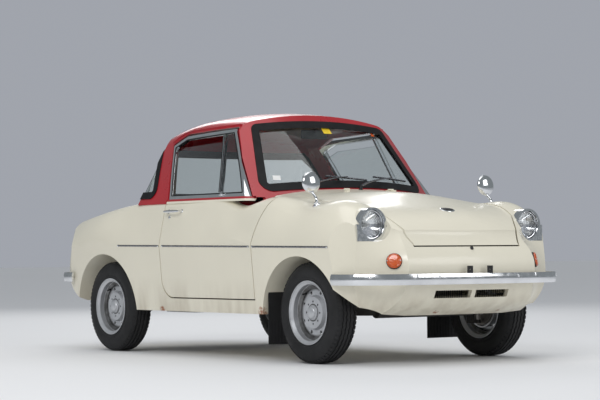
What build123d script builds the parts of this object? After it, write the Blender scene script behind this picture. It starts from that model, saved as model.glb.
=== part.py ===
from build123d import *
import math
import os

# Small rear-engined two-door coupe. Millimetres, +X forward, +Y left, +Z up.
# The origin is on the ground, midway between the bumper faces.

# Overall and running gear
LENGTH = 2980.0
HALF_WIDTH = 642.0
WHEELBASE = 1760.0
FRONT_AXLE_X = 930.0
REAR_AXLE_X = FRONT_AXLE_X - WHEELBASE
FRONT_TRACK = 1040.0
REAR_TRACK = 1100.0

# Tyre and wheel, the wheel's outer side at +Y
TYRE_RADIUS = 238.0
TYRE_WIDTH = 128.0
TYRE_BULGE = 22.0
TYRE_SHOULDER_DROP = 16.0
TYRE_SHOULDER_IN = 8.0
TREAD_EDGE_IN = 34.0
RIM_RADIUS = 148.0
RIM_WIDTH = 104.0
RIM_SHEET = 5.0
BEAD_DROP = 11.3
BEAD_INSET = 4.0
WELL_DROP = 16.0
WELL_HALF = 16.0
WELL_SLOPE = 10.0
FLANGE_OUT = 9.0
FLANGE_EDGE = 3.0
DISC_Y = 7.0
DISC_STEP_RADIUS = 82.0
DISC_STEP_IN = 8.0
DISC_RISE = 18.0
STUD_HOLES = 8
STUD_PITCH_RADIUS = 52.0
STUD_HOLE_RADIUS = 5.0
VENT_PITCH_RADIUS = 98.0
VENT_RADIUS = 8.0
CAP_RADIUS = 34.0
CAP_HEIGHT = 16.0
CAP_STEP = 8.0
CAP_CROWN = 6.0
HOLE_START = 3.0
HOLE_REACH = 10.0
HUB_RADIUS = 34.0
HUB_BORE = 18.0
HUB_DEPTH = 46.0
HUB_FLANGE_RADIUS = 66.0
STUB_END = 22.0
STUB_ROOM = 2.0
DRUM_RADIUS = 98.0
DRUM_WALL = 8.0
DRUM_DEPTH = 40.0
DRUM_FRONT_Y = 2.0
DRUM_BEVEL = 4.0
DISC_BEVEL = 2.0
RUNNING_GAP = 5.0
PIN_GAP = 0.4
SEAT_GAP = 0.3

# Knuckles, arms and half shafts, distances inboard of the wheel's middle
KINGPIN_IN = 68.0
KINGPIN_RADIUS = 16.0
KINGPIN_HALF = 58.0
EAR_RADIUS = 17.0
EAR_HEIGHT = 16.0
BACK_PLATE_IN = 38.0
BACK_PLATE_SHEET = 6.0
STEERING_ARM_LENGTH = 120.0
STEERING_ARM_HALF = 14.0
STEERING_ARM_THICKNESS = 16.0
STEERING_LOCK = 28.0
LINK_HEIGHT = 36.0
LINK_HALF = 14.0
AXLE_TUBE_X = 1070.0
AXLE_TUBE_RADIUS = 30.0
AXLE_TUBE_HALF = 290.0
SADDLE_Y = 220.0
SADDLE_HALF = 22.0
REAR_CARRIER_RADIUS = 30.0
REAR_ARM_Y = 375.0
REAR_ARM_HALF = 20.0
REAR_ARM_LOW_Z = 240.0
REAR_ARM_HIGH_Z = 280.0
HALF_SHAFT_RADIUS = 14.0
CARRIER_OVERLAP = 10.0
CROSSMEMBER_X = -590.0
CROSSMEMBER_HALF = 20.0

# Body levels and walls
BELT_Z = 783.0
SILL_Z = 225.0
FLOOR_Z = 240.0
FLOOR_THICKNESS = 24.0
LUGGAGE_FLOOR_Z = 300.0
LUGGAGE_FLOOR_THICKNESS = 10.0
LUGGAGE_FLOOR_NOSE_X = 1290.0
BODY_WALL = 24.0
DOOR_WALL = 44.0
ROOF_WALL = 24.0
PANEL_GAP = 6.0
FRAME_GAP = 10.0
INNER_DROP = 90.0
SCRAP_VOLUME = 500.0
SHOULDER_INWARD = 0.75
SHOULDER_DOWNWARD = 0.65

# Wheel arches
ARCH_RADIUS = 312.0
ARCH_WALL = 10.0
FRONT_ARCH_IN = 318.0
REAR_ARCH_IN = 410.0
FRONT_ARCH_X = FRONT_AXLE_X - 12.0
REAR_ARCH_X = REAR_AXLE_X - 36.0
FRONT_ARCH_Z = 189.0
REAR_ARCH_Z = 205.0
AXLE_SLOT_HIGH_Z = 292.0
AXLE_SLOT_REACH = (100.0, 80.0)
AXLE_SLOT_SIDES = (28.0, 17.0)
ARM_SLOT_HIGH_Z = 300.0
ARM_SLOT_REACH = (70.0, 210.0)
ARM_SLOT_SIDES = (30.0, 20.0)

# Doors
DOOR_REAR_X = -280.0
DOOR_FRONT_X = 548.0
DOOR_TOP_FRONT_X = 640.0
DOOR_BOTTOM_Z = 296.0
DOOR_CORNER = 92.0
CORNER_MIDDLE = 0.3
DOOR_TOP_BEND = 12.0
DOOR_FRONT_BOW = 8.0
DOOR_INNER_Y = 548.0
DOOR_BEND_Z = 565.0
SILL_REAR_X = DOOR_REAR_X + 80.0
SILL_FRONT_X = DOOR_FRONT_X - 13.0
SILL_ZONE_Y = 400.0
JACK_PAD_X = 200.0
JACK_PAD_Y = 480.0
JACK_PAD_HALF = 30.0
JACK_PAD_THICKNESS = 4.0

# Bonnet and engine lid, in plan
BONNET_REAR_X = 655.0
BONNET_HALF = 432.0
BONNET_WAIST_X = 905.0
BONNET_NOSE_X = 1262.0
BONNET_NOSE_HALF = 386.0
BONNET_LIP_X = 1384.0
BONNET_LIP_HALF = 315.0
BONNET_LIP_Z = 546.0
ENGINE_LID_FRONT_X = -900.0
ENGINE_LID_HALF = 385.0
ENGINE_LID_LOW_Z = 480.0

# Hinges: knuckles of the two lids, and the doors' plates on the front posts
BONNET_HINGE_X = BONNET_REAR_X - 5.0
BONNET_HINGE_Z = 826.0
LID_HINGE_X = ENGINE_LID_FRONT_X + 3.0
LID_HINGE_Z = 787.0
HINGE_Y = 120.0
KNUCKLE_RADIUS = 4.5
KNUCKLE_LENGTH = 16.0
LEAF_REACH = 24.0
LEAF_TOP_DROP = 2.0
LEAF_LOW_DROP = 14.0
HINGE_PLATES_Z = (350.0, 520.0)
HINGE_PLATE_HEIGHT = 40.0
HINGE_PLATE_Y = 602.0
HINGE_PLATE_WIDTH = 14.0
HINGE_PLATE_SINK = 3.0

# Lamps
HEADLAMP_X = 1276.0
HEADLAMP_Y = 471.0
HEADLAMP_Z = 643.0
HEADLAMP_LENS_RADIUS = 66.0
HEADLAMP_LENS_DEPTH = 60.0
HEADLAMP_POD_DEPTH = 150.0
BEZEL_RADIUS = 78.0
BEZEL_CORNER_Y = 90.0
BEZEL_CORNER_Z = 76.0
BEZEL_BACK = 19.0
BEZEL_PROUD = 14.0
INDICATOR_X = 1436.0
INDICATOR_Y = 423.0
INDICATOR_Z = 476.0
INDICATOR_RADIUS = 36.0
INDICATOR_DEPTH = 56.0
TAIL_LAMP_X = -1376.0
TAIL_LAMP_Y = 500.0
TAIL_LAMP_Z = 610.0
TAIL_LAMP_WIDTH = 44.0
TAIL_LAMP_HEIGHT = 96.0
TAIL_LAMP_DEPTH = 80.0
TAIL_LAMP_CORNER = 18.0

# Apron: cooling slots, and the side cut ahead of the wheels in side view
APRON_SLOT_IN = 12.0
APRON_SLOT_OUT = 220.0
APRON_SLOT_LOW_Z = 305.0
APRON_SLOT_HIGH_Z = 340.0
APRON_BACK_X = 1330.0
APRON_CUT = ((1080, 350), (1186, 350), (1290, 226), (1290, 100), (1080, 100))

# Bumper blades, half plan of the outer face
BUMPER_COLUMNS = "centre_x knee_x knee_y corner_x corner_y end_x end_y".split()
FRONT_BUMPER = (1490, 1467, 380, 1327, 612, 1192, 644)
REAR_BUMPER = (-1490, -1463, 430, -1352, 606, -1192, 644)
BUMPER_LOW_Z = 368.0
BUMPER_HEIGHT = 50.0
BUMPER_DEPTH = 13.0
BUMPER_BOW = 5.0
BUMPER_STAY_Y = 320.0
BUMPER_STAY_HALF = 18.0
BUMPER_STAY_HEIGHT = 26.0
BUMPER_STAY_REACH = 110.0
PLATE_BRACKET_Y = 60.0
PLATE_BRACKET_WIDTH = 30.0
PLATE_BRACKET_HEIGHT = 34.0
PLATE_BRACKET_SHEET = 6.0
PLATE_BOLT_RADIUS = 3.5

# Outer body sections: heights at the centre line, the valley beside the
# bonnet, the wing crown, the shoulder, the crease and the sill. Columns
# ending in "in" are distances inboard of HALF_WIDTH.
BODY_COLUMNS = (
    "x centre_z valley_in valley_z crown_in crown_z shoulder_in shoulder_z "
    "crease_in crease_z sill_in"
).split()
BODY_STATIONS = (
    (1490, 470, 320, 462, 212, 450, 95, 425, 45, 385, 58),
    (1400, 583, 320, 560, 202, 544, 72, 508, 12, 450, 46),
    (1300, 690, 290, 662, 185, 650, 58, 602, 2, 545, 36),
    (1180, 733, 255, 722, 172, 741, 54, 684, 0, 545, 32),
    (1000, 779, 230, 752, 166, 755, 48, 695, 0, 548, 30),
    (760, 814, 205, 776, 144, 769, 46, 712, 0, 550, 30),
    (560, 830, 170, 794, 108, 779, 44, 735, 0, 552, 30),
    (280, 833, 158, 798, 86, 783, 42, 752, 0, 554, 30),
    (0, 832, 152, 799, 74, 785, 41, 760, 0, 556, 30),
    (-280, 824, 154, 797, 75, 784, 41, 757, 0, 559, 30),
    (-560, 808, 160, 792, 80, 781, 42, 750, 0, 561, 30),
    (-850, 788, 200, 768, 100, 757, 43, 728, 1, 561, 32),
    (-1120, 750, 230, 726, 118, 720, 54, 690, 5, 561, 36),
    (-1320, 706, 260, 684, 150, 690, 78, 655, 20, 561, 46),
    (-1490, 600, 285, 585, 190, 600, 100, 570, 40, 500, 56),
)

# Plan outlines of the nose and of the tail, by height
PLAN_COLUMNS = "z centre_x knee_x knee_y corner_x corner_y side_x side_y".split()
NOSE_LEVELS = (
    (130, 1260, 1210, 400, 1170, 460, 1100, 560),
    (240, 1348, 1296, 420, 1240, 505, 1140, 605),
    (345, 1440, 1410, 385, 1285, 568, 1160, 648),
    (420, 1455, 1432, 380, 1292, 578, 1165, 656),
    (480, 1450, 1428, 380, 1291, 576, 1165, 656),
    (550, 1410, 1384, 370, 1287, 571, 1165, 656),
    (640, 1388, 1350, 372, 1278, 567, 1165, 656),
    (860, 1330, 1290, 400, 1258, 560, 1165, 656),
)
TAIL_LEVELS = (
    (130, -1110, -1085, 430, -1060, 500, -1000, 600),
    (272, -1300, -1268, 430, -1200, 560, -1120, 645),
    (350, -1436, -1405, 430, -1300, 585, -1190, 656),
    (420, -1455, -1424, 430, -1318, 585, -1200, 656),
    (568, -1430, -1392, 430, -1300, 580, -1190, 656),
    (712, -1345, -1305, 430, -1230, 575, -1150, 654),
    (900, -1240, -1200, 430, -1150, 570, -1100, 650),
)
PLAN_HALF = HALF_WIDTH + 22.0
KNEE_BOW = 18.0
CORNER_BOW = 10.0
PLAN_RUN_BACK = 500.0

# Greenhouse sections along X, and its plan outline at two heights
ROOF_COLUMNS = "x centre_z rail_y rail_z cant_y cant_z belt_y".split()
ROOF_STATIONS = (
    (640, 1150, 360, 1110, 452, 1050, 596),
    (230, 1214, 385, 1176, 470, 1124, 594),
    (0, 1238, 400, 1192, 479, 1130, 594),
    (-280, 1228, 402, 1178, 476, 1112, 594),
    (-560, 1162, 395, 1116, 460, 1072, 592),
    (-900, 1000, 380, 950, 450, 905, 580),
)
GLASS_COLUMNS = (
    "z front_x front_corner_x front_corner_y front_side_x front_side_y "
    "rear_side_x rear_side_y rear_corner_x rear_corner_y rear_x"
).split()
GLASS_LOW = (790, 592, 456, 520, 425, 625, -540, 620, -715, 480, -790)
GLASS_HIGH = (1170, 252, 206, 412, 150, 560, -400, 545, -500, 400, -568)
GREENHOUSE_BASE_Z = 772.0
GREENHOUSE_LOFT_LOW_Z = 732.0
GREENHOUSE_TOP_Z = 1300.0
FRONT_CORNER_BOW = 8.0
REAR_CORNER_BOW = 22.0
RAIL_INWARD = 0.2
RAIL_DOWNWARD = 0.95
CANT_INWARD = 0.8
CANT_DOWNWARD = 0.4
REAR_CORNER_INWARD = 0.5

# Screens: half widths and heights of the rubber's outer edge
SCREEN_TOP_HALF = 408.0
SCREEN_TOP_Z = 1160.0
SCREEN_TOP_CENTRE_Z = 1186.0
SCREEN_LOW_HALF = 512.0
SCREEN_LOW_Z = 812.0
SCREEN_LOW_CENTRE_Z = 838.0
SCREEN_CORNER = 46.0
RUBBER_WIDTH = 36.0
RUBBER_PROUD = 5.0
GLASS_INSET = 6.0
GLASS_THICKNESS = 5.0
SCREEN_BACK_X = 60.0
SCREEN_FRONT_X = 760.0
REAR_SCREEN_TOP = (-500.0, 1066.0)
REAR_SCREEN_LOW = (-398.0, 803.0)

# Side glass frame: corners of the outer edge in side view
FRAME_LOW_REAR = (-262.0, 794.0)
FRAME_HIGH_REAR = (-388.0, 1078.0)
FRAME_SHOULDER = (-262.0, 1122.0)
FRAME_HIGH_FRONT = (180.0, 1138.0)
FRAME_LOW_FRONT = (432.0, 794.0)
FRAME_BAR = 22.0
FRAME_INNER_Y = 300.0
FRAME_GROW_FLAT = 0.6
FRAME_GROW_SLANT = 1.25
WAIST_DEPTH = 80.0
WAIST_LAP = 12.0
WAIST_FRONT_OUT = 6.0
WAIST_HOLE_OUT = 14.0
WAIST_RAIL_IN = 40.0
WAIST_HOLE_IN = 50.0
DIVIDER_LOW_X = 200.0
DIVIDER_HIGH_X = 79.0
DIVIDER_HALF = 8.0
GLASS_LOWERED = 36.0

# Interior
FIREWALL_X = 566.0
REAR_BULKHEAD_X = -470.0
BULKHEAD_THICKNESS = 10.0
FIREWALL_TOP_Z = BELT_Z - 12.0
REAR_BULKHEAD_TOP_Z = BELT_Z - 60.0
DASH_X = 470.0
DASH_LOW_Z = 640.0
DASH_HIGH_Z = 752.0
SEAT_X = -40.0
SEAT_Y = 250.0
SEAT_WIDTH = 400.0
CUSHION_LENGTH = 440.0
CUSHION_HEIGHT = 110.0
CUSHION_Z = 400.0
BACK_HEIGHT = 420.0
BACK_THICKNESS = 90.0
BACK_LEAN = 14.0
BACK_SINK = 40.0
SEAT_STAND_WIDTH = 300.0
SEAT_STAND_INSET = 40.0
BENCH_HALF = 440.0
BENCH_LENGTH = 250.0
BENCH_HIGH_Z = 420.0
BENCH_BACK_THICKNESS = 70.0
BENCH_BACK_HIGH_Z = 690.0
COLUMN_Y = -250.0
COLUMN_RADIUS = 17.0
COLUMN_TILT = 35.0
STEERING_WHEEL_X = 330.0
STEERING_WHEEL_Z = 700.0
STEERING_WHEEL_RADIUS = 190.0
STEERING_GRIP_RADIUS = 11.0
STEERING_GRIP_SIDES = 8
STEERING_BOSS_RADIUS = 30.0
STEERING_BOSS_HEIGHT = 22.0
SPOKE_WIDTH = 22.0
SPOKE_THICKNESS = 8.0

# Power unit, one plain block with the gearbox ahead of it
ENGINE_X = -985.0
ENGINE_LENGTH = 380.0
ENGINE_WIDTH = 440.0
ENGINE_HEIGHT = 280.0
ENGINE_Z = 262.0
GEARBOX_REAR_X = REAR_AXLE_X - 60.0
GEARBOX_LOW_Z = 200.0
GEARBOX_HEIGHT = 120.0

# Small outside pieces
MIRROR_X = 948.0
MIRROR_Y = 537.0
MIRROR_FOOT_Z = 735.0
MIRROR_HEAD_X = 900.0
MIRROR_HEAD_Z = 845.0
MIRROR_RADIUS = 51.0
MIRROR_DEPTH = 22.0
MIRROR_NOD = 0.1
MIRROR_STEM_RADIUS = 6.0
FLAP_X = 640.0
FLAP_SHEET = 4.0
FLAP_IN_Y = 372.0
FLAP_OUT_Y = 600.0
FLAP_LOW_Z = 82.0
WIPER_PIVOTS = ((568.0, -298.0), (588.0, 0.0))
WIPER_LOW_Z = 800.0
WIPER_HIGH_Z = 846.0
WIPER_RADIUS = 9.0
WIPER_ARM_RADIUS = 5.0
WIPER_ARM_REACH = (-22.0, 180.0, 48.0)
SCUTTLE_LOW = (500.0, 0.0, 700.0)
SCUTTLE_HIGH = (700.0, 330.0, 900.0)
HANDLE_X = -250.0
HANDLE_LENGTH = 150.0
HANDLE_Z = 732.0
HANDLE_HEIGHT = 14.0
HANDLE_Y = 634.0
HANDLE_SHEET = 10.0
HANDLE_FOOT = 16.0
HANDLE_FOOT_REACH = 40.0

OUT = HALF_WIDTH + 60.0
TOP = 1500.0
NOSE = LENGTH / 2 + 50.0
LAP = 10.0


def rows(columns, table):
    return [dict(zip(columns, row)) for row in table]


def polygon(points):
    return Face(Wire(Polyline(*points, close=True).edges()))


def block(low, high):
    size = [b - a for a, b in zip(low, high)]
    middle = [(a + b) / 2 for a, b in zip(low, high)]
    return Pos(*middle) * Box(*size)


def rod(start, end, radius):
    """Round bar between two points."""
    line = Line(start, end)
    return extrude(Plane(origin=start, z_dir=line % 0) * Circle(radius), line.length)


def other(solid):
    """The same solid on the right side of the car."""
    return mirror(solid, Plane.XZ)


def whole(half):
    return half + other(half)


def push_up(face, low_z, high_z):
    return extrude(Plane.XY.offset(low_z) * face, high_z - low_z, dir=(0, 0, 1))


def push_left(face, low_y, high_y):
    """Push a side-view face from low_y to high_y."""
    return extrude(Plane.XZ.offset(-low_y) * face, high_y - low_y, dir=(0, 1, 0))


def push_ahead(face, low_x, high_x):
    """Push a front-view face (Y, Z) from low_x to high_x."""
    return extrude(Plane.YZ.offset(low_x) * face, high_x - low_x, dir=(1, 0, 0))


def across(x, z, radius, low_y, high_y):
    """Round bar along Y."""
    return push_left((Pos(x, z) * Circle(radius)).face(), low_y, high_y)


def lid_knuckle(x, z, low_y, reach):
    """Hinge knuckle whose leaf runs along X by reach."""
    low_x, high_x = sorted((x, x + reach))
    high_y = low_y + KNUCKLE_LENGTH
    leaf = block((low_x, low_y, z - LEAF_LOW_DROP), (high_x, high_y, z - LEAF_TOP_DROP))
    return across(x, z, KNUCKLE_RADIUS, low_y, high_y) + leaf


def write(name, *shapes):
    """Write one node, leaving out scraps that the cuts left."""
    solids = [s for shape in shapes for s in shape.solids() if s.volume > SCRAP_VOLUME]
    node = solids[0] if len(solids) == 1 else Compound(children=solids)
    node.label = name
    export_step(node, f"parts/{name}.step")


# Envelopes, left half only

def body_section(row, inset):
    """Half section of the lower body at one station, walls moved in by inset."""
    low_z = SILL_Z - (INNER_DROP if inset > 0 else 0)
    centre = (0, row["centre_z"] - inset)
    valley = (HALF_WIDTH - row["valley_in"], row["valley_z"] - inset)
    crown = (HALF_WIDTH - row["crown_in"], row["crown_z"] - inset)
    shoulder = (
        HALF_WIDTH - row["shoulder_in"] - inset * SHOULDER_INWARD,
        row["shoulder_z"] - inset * SHOULDER_DOWNWARD,
    )
    crease = (HALF_WIDTH - row["crease_in"] - inset, row["crease_z"])
    sill = (HALF_WIDTH - row["sill_in"] - inset, low_z)
    bend = TangentArc(crown, shoulder, tangent=(1, 0))
    edges = [
        TangentArc(centre, valley, tangent=(1, 0)),
        TangentArc(crown, valley, tangent=(-1, 0)),
        bend,
        TangentArc(shoulder, crease, tangent=bend % 1),
        Line(crease, sill),
        Line(sill, (0, low_z)),
        Line((0, low_z), centre),
    ]
    return Plane.YZ.offset(row["x"]) * Face(Wire(edges))


def plan_face(row, grow, end):
    """Half plan outline of the nose (end 1) or tail (end -1), grown outwards."""
    far_y = PLAN_HALF + grow
    back_x = -end * LENGTH
    centre = (row["centre_x"] + end * grow, 0)
    knee = (row["knee_x"] + end * grow, row["knee_y"] + grow)
    corner = (row["corner_x"] + end * grow, row["corner_y"] + grow)
    side = (row["side_x"] + end * grow, row["side_y"] + grow)
    far = (side[0] - end * PLAN_RUN_BACK, far_y)
    return Face(Wire([
        TangentArc(centre, knee, tangent=(0, 1)),
        SagittaArc(knee, corner, end * KNEE_BOW),
        SagittaArc(corner, side, end * CORNER_BOW),
        Line(side, far),
        Line(far, (back_x, far_y)),
        Line((back_x, far_y), (back_x, 0)),
        Line((back_x, 0), centre),
    ]))


def plan_loft(table, inset, end):
    levels = rows(PLAN_COLUMNS, table)
    return loft([Plane.XY.offset(row["z"]) * plan_face(row, -inset, end) for row in levels])


def lower_body(inset=0.0):
    """Left half of the lower body as one solid, its surfaces moved in by inset."""
    along = loft([body_section(row, inset) for row in rows(BODY_COLUMNS, BODY_STATIONS)])
    return along & plan_loft(NOSE_LEVELS, inset, 1) & plan_loft(TAIL_LEVELS, inset, -1)


def roof_section(row, inset):
    centre = (0, row["centre_z"] - inset)
    rail = (row["rail_y"] - inset * RAIL_INWARD, row["rail_z"] - inset * RAIL_DOWNWARD)
    cant = (row["cant_y"] - inset * CANT_INWARD, row["cant_z"] - inset * CANT_DOWNWARD)
    slope = (row["belt_y"] - row["cant_y"]) / (row["cant_z"] - BELT_Z)
    belt = (row["belt_y"] - inset + slope * (BELT_Z - GREENHOUSE_BASE_Z), GREENHOUSE_BASE_Z)
    top = TangentArc(centre, rail, tangent=(1, 0))
    edges = [
        top,
        TangentArc(rail, cant, tangent=top % 1),
        Line(cant, belt),
        Line(belt, (0, GREENHOUSE_BASE_Z)),
        Line((0, GREENHOUSE_BASE_Z), centre),
    ]
    return Plane.YZ.offset(row["x"]) * Face(Wire(edges))


def glass_outline(row, inset):
    """Half plan outline that the screens follow, at one height."""
    front = (row["front_x"] - inset, 0)
    front_corner = (row["front_corner_x"] - inset, row["front_corner_y"])
    front_side = (row["front_side_x"] - inset, row["front_side_y"])
    rear_side = (row["rear_side_x"] + inset, row["rear_side_y"])
    rear_corner = (row["rear_corner_x"] + inset, row["rear_corner_y"] - inset * REAR_CORNER_INWARD)
    rear = (row["rear_x"] + inset, 0)
    return Plane.XY.offset(row["z"]) * Face(Wire([
        TangentArc(front, front_corner, tangent=(0, 1)),
        SagittaArc(front_corner, front_side, FRONT_CORNER_BOW),
        Line(front_side, rear_side),
        SagittaArc(rear_side, rear_corner, REAR_CORNER_BOW),
        TangentArc(rear, rear_corner, tangent=(0, 1)),
        Line(rear, front),
    ]))


def glass_level(z):
    """Plan outline row at height z, on the straight line through both levels."""
    share = (z - GLASS_LOW[0]) / (GLASS_HIGH[0] - GLASS_LOW[0])
    values = [low + share * (high - low) for low, high in zip(GLASS_LOW, GLASS_HIGH)]
    return dict(zip(GLASS_COLUMNS, values))


def greenhouse(inset=0.0):
    """Left half of roof, pillars and glass as one solid, moved in by inset."""
    along = loft([roof_section(row, inset) for row in rows(ROOF_COLUMNS, ROOF_STATIONS)])
    ends = [glass_level(z) for z in (GREENHOUSE_LOFT_LOW_Z, GREENHOUSE_TOP_Z)]
    return along & loft([glass_outline(row, inset) for row in ends], ruled=True)


# Outlines

def door_outline(grow):
    """Side-view outline of a door below the belt, grown by the panel gap."""
    low = DOOR_BOTTOM_Z - grow
    rear = DOOR_REAR_X - grow
    front = DOOR_FRONT_X + grow
    top = BELT_Z + grow
    top_front = DOOR_TOP_FRONT_X + grow
    bend = BELT_Z - DOOR_TOP_BEND
    return Face(Wire([
        Line((rear, top), (rear, low + DOOR_CORNER)),
        ThreePointArc(
            (rear, low + DOOR_CORNER),
            (rear + DOOR_CORNER * CORNER_MIDDLE, low + DOOR_CORNER * CORNER_MIDDLE),
            (rear + DOOR_CORNER, low),
        ),
        Line((rear + DOOR_CORNER, low), (front, low)),
        Line((front, low), (front, DOOR_BEND_Z)),
        SagittaArc((front, DOOR_BEND_Z), (top_front, bend), DOOR_FRONT_BOW),
        Line((top_front, bend), (top_front, top)),
        Line((top_front, top), (rear, top)),
    ]))


def frame_outline(grow):
    """Side-view outline of the window frame, grown outwards."""
    return polygon([
        (FRAME_LOW_REAR[0] - grow, FRAME_LOW_REAR[1] - grow),
        (FRAME_HIGH_REAR[0] - grow, FRAME_HIGH_REAR[1] + grow * FRAME_GROW_FLAT),
        (FRAME_SHOULDER[0] - grow * FRAME_GROW_FLAT, FRAME_SHOULDER[1] + grow),
        (FRAME_HIGH_FRONT[0] + grow * FRAME_GROW_FLAT, FRAME_HIGH_FRONT[1] + grow),
        (FRAME_LOW_FRONT[0] + grow * FRAME_GROW_SLANT, FRAME_LOW_FRONT[1] - grow),
    ])


def bonnet_outline(grow):
    return polygon([
        (BONNET_REAR_X - grow, 0),
        (BONNET_REAR_X - grow, BONNET_HALF + grow),
        (BONNET_WAIST_X, BONNET_HALF + grow),
        (BONNET_NOSE_X, BONNET_NOSE_HALF + grow),
        (BONNET_LIP_X + grow, BONNET_LIP_HALF + grow),
        (NOSE, BONNET_LIP_HALF + grow),
        (NOSE, 0),
    ])


def engine_lid_outline(grow):
    return polygon([
        (ENGINE_LID_FRONT_X + grow, 0),
        (ENGINE_LID_FRONT_X + grow, ENGINE_LID_HALF + grow),
        (-NOSE, ENGINE_LID_HALF + grow),
        (-NOSE, 0),
    ])


def arch(x, z, inner_y, wall):
    return across(x, z, ARCH_RADIUS + wall, inner_y - wall, OUT)


def lens_circle(grow=0.0):
    return Pos(HEADLAMP_Y, HEADLAMP_Z) * Circle(HEADLAMP_LENS_RADIUS + grow)


def bezel_face(grow=0.0):
    """Front view of a headlamp surround, round with a square outer lower corner."""
    width = BEZEL_CORNER_Y + grow
    height = BEZEL_CORNER_Z + grow
    corner = Pos(width / 2, -height / 2) * Rectangle(width, height)
    return Pos(HEADLAMP_Y, HEADLAMP_Z) * (Circle(BEZEL_RADIUS + grow) + corner)


def screen_outline():
    """Front-view outline of the windscreen rubber."""
    top = ThreePointArc(
        (SCREEN_TOP_HALF, SCREEN_TOP_Z), (0, SCREEN_TOP_CENTRE_Z), (-SCREEN_TOP_HALF, SCREEN_TOP_Z)
    )
    low = ThreePointArc(
        (-SCREEN_LOW_HALF, SCREEN_LOW_Z), (0, SCREEN_LOW_CENTRE_Z), (SCREEN_LOW_HALF, SCREEN_LOW_Z)
    )
    face = Face(Wire([top, Line(top @ 1, low @ 0), low, Line(low @ 1, top @ 0)]))
    return fillet(face.vertices(), SCREEN_CORNER)


def rear_screen_outline():
    """Side-view outline of the wrap-round rear screen's rubber."""
    face = polygon([
        REAR_SCREEN_TOP,
        REAR_SCREEN_LOW,
        (-NOSE, REAR_SCREEN_LOW[1]),
        (-NOSE, REAR_SCREEN_TOP[1]),
    ])
    return fillet([face.vertices().sort_by(Axis.X)[-1]], SCREEN_CORNER)


# Wheels

def tyre():
    half = RIM_WIDTH / 2
    side = TYRE_WIDTH / 2
    left = [
        (RIM_RADIUS - BEAD_DROP + SEAT_GAP, half - BEAD_INSET),
        (RIM_RADIUS + TYRE_BULGE, side),
        (TYRE_RADIUS - TYRE_SHOULDER_DROP, side - TYRE_SHOULDER_IN),
        (TYRE_RADIUS, side - TREAD_EDGE_IN),
    ]
    return revolve(polygon(left + [(r, -y) for r, y in reversed(left)]), Axis.Y)


def wheel():
    """Pressed wheel with its hub, brake drum and dust cap, outer side at +Y."""
    half = RIM_WIDTH / 2
    bead = RIM_RADIUS - BEAD_DROP
    well = bead - WELL_DROP
    bead_inside = bead - RIM_SHEET
    well_inside = well - RIM_SHEET
    flange = half + FLANGE_OUT
    slope_end = WELL_HALF + WELL_SLOPE
    step_inside = DISC_STEP_RADIUS - DISC_STEP_IN
    crown = DISC_Y + DISC_RISE
    section = polygon([
        (RIM_RADIUS, flange),
        (bead_inside, half - BEAD_INSET),
        (bead_inside, slope_end),
        (well_inside, WELL_HALF),
        (well_inside, DISC_Y + RIM_SHEET),
        (DISC_STEP_RADIUS, DISC_Y + RIM_SHEET),
        (step_inside, crown + RIM_SHEET),
        (CAP_RADIUS, crown + RIM_SHEET),
        (CAP_RADIUS - CAP_STEP, crown + CAP_HEIGHT),
        (CAP_RADIUS / 2, crown + CAP_HEIGHT + CAP_CROWN),
        (0, crown + CAP_HEIGHT + CAP_CROWN),
        (0, STUB_END + STUB_ROOM),
        (HUB_BORE, STUB_END + STUB_ROOM),
        (HUB_BORE, -HUB_DEPTH),
        (HUB_RADIUS, -HUB_DEPTH),
        (HUB_RADIUS, DRUM_FRONT_Y - DRUM_WALL),
        (DRUM_RADIUS - DRUM_WALL, DRUM_FRONT_Y - DRUM_WALL),
        (DRUM_RADIUS - DRUM_WALL, -DRUM_DEPTH),
        (DRUM_RADIUS, -DRUM_DEPTH),
        (DRUM_RADIUS - DRUM_BEVEL, DRUM_FRONT_Y),
        (HUB_FLANGE_RADIUS, DRUM_FRONT_Y),
        (HUB_FLANGE_RADIUS, crown),
        (step_inside - DISC_BEVEL, crown),
        (DISC_STEP_RADIUS - DISC_BEVEL, DISC_Y),
        (well_inside, DISC_Y),
        (well_inside, -WELL_HALF),
        (bead_inside, -slope_end),
        (bead_inside, BEAD_INSET - half),
        (RIM_RADIUS, -flange),
        (RIM_RADIUS, FLANGE_EDGE - flange),
        (bead, FLANGE_EDGE - half),
        (bead, -slope_end),
        (well, -WELL_HALF),
        (well, WELL_HALF),
        (bead, slope_end),
        (bead, half - FLANGE_EDGE),
        (RIM_RADIUS, flange - FLANGE_EDGE),
    ])
    holes = []
    for index in range(STUD_HOLES):
        turn = Rot(0, index * 360 / STUD_HOLES, 0)
        between = Rot(0, (index + 0.5) * 360 / STUD_HOLES, 0)
        for place, pitch, radius, y in (
            (turn, STUD_PITCH_RADIUS, STUD_HOLE_RADIUS, crown),
            (between, VENT_PITCH_RADIUS, VENT_RADIUS, DISC_Y),
        ):
            holes.append(place * across(pitch, 0, radius, y - HOLE_START, y + HOLE_REACH))
    return revolve(section, Axis.Y) - holes


def stub_axle():
    """Stub and back plate, round the wheel's own centre."""
    plate_y = -BACK_PLATE_IN
    radius = DRUM_RADIUS - DRUM_WALL - RUNNING_GAP
    stub = across(0, 0, HUB_BORE - PIN_GAP, plate_y - BACK_PLATE_SHEET, STUB_END)
    carrier = across(0, 0, HUB_BORE - PIN_GAP, -KINGPIN_IN, plate_y)
    plate = across(0, 0, radius, plate_y - BACK_PLATE_SHEET, plate_y)
    inner_bore = across(0, 0, HUB_RADIUS + PIN_GAP, -HUB_DEPTH - PIN_GAP, plate_y + LAP)
    return stub + carrier + (plate - inner_bore)


# Bumpers

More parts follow.
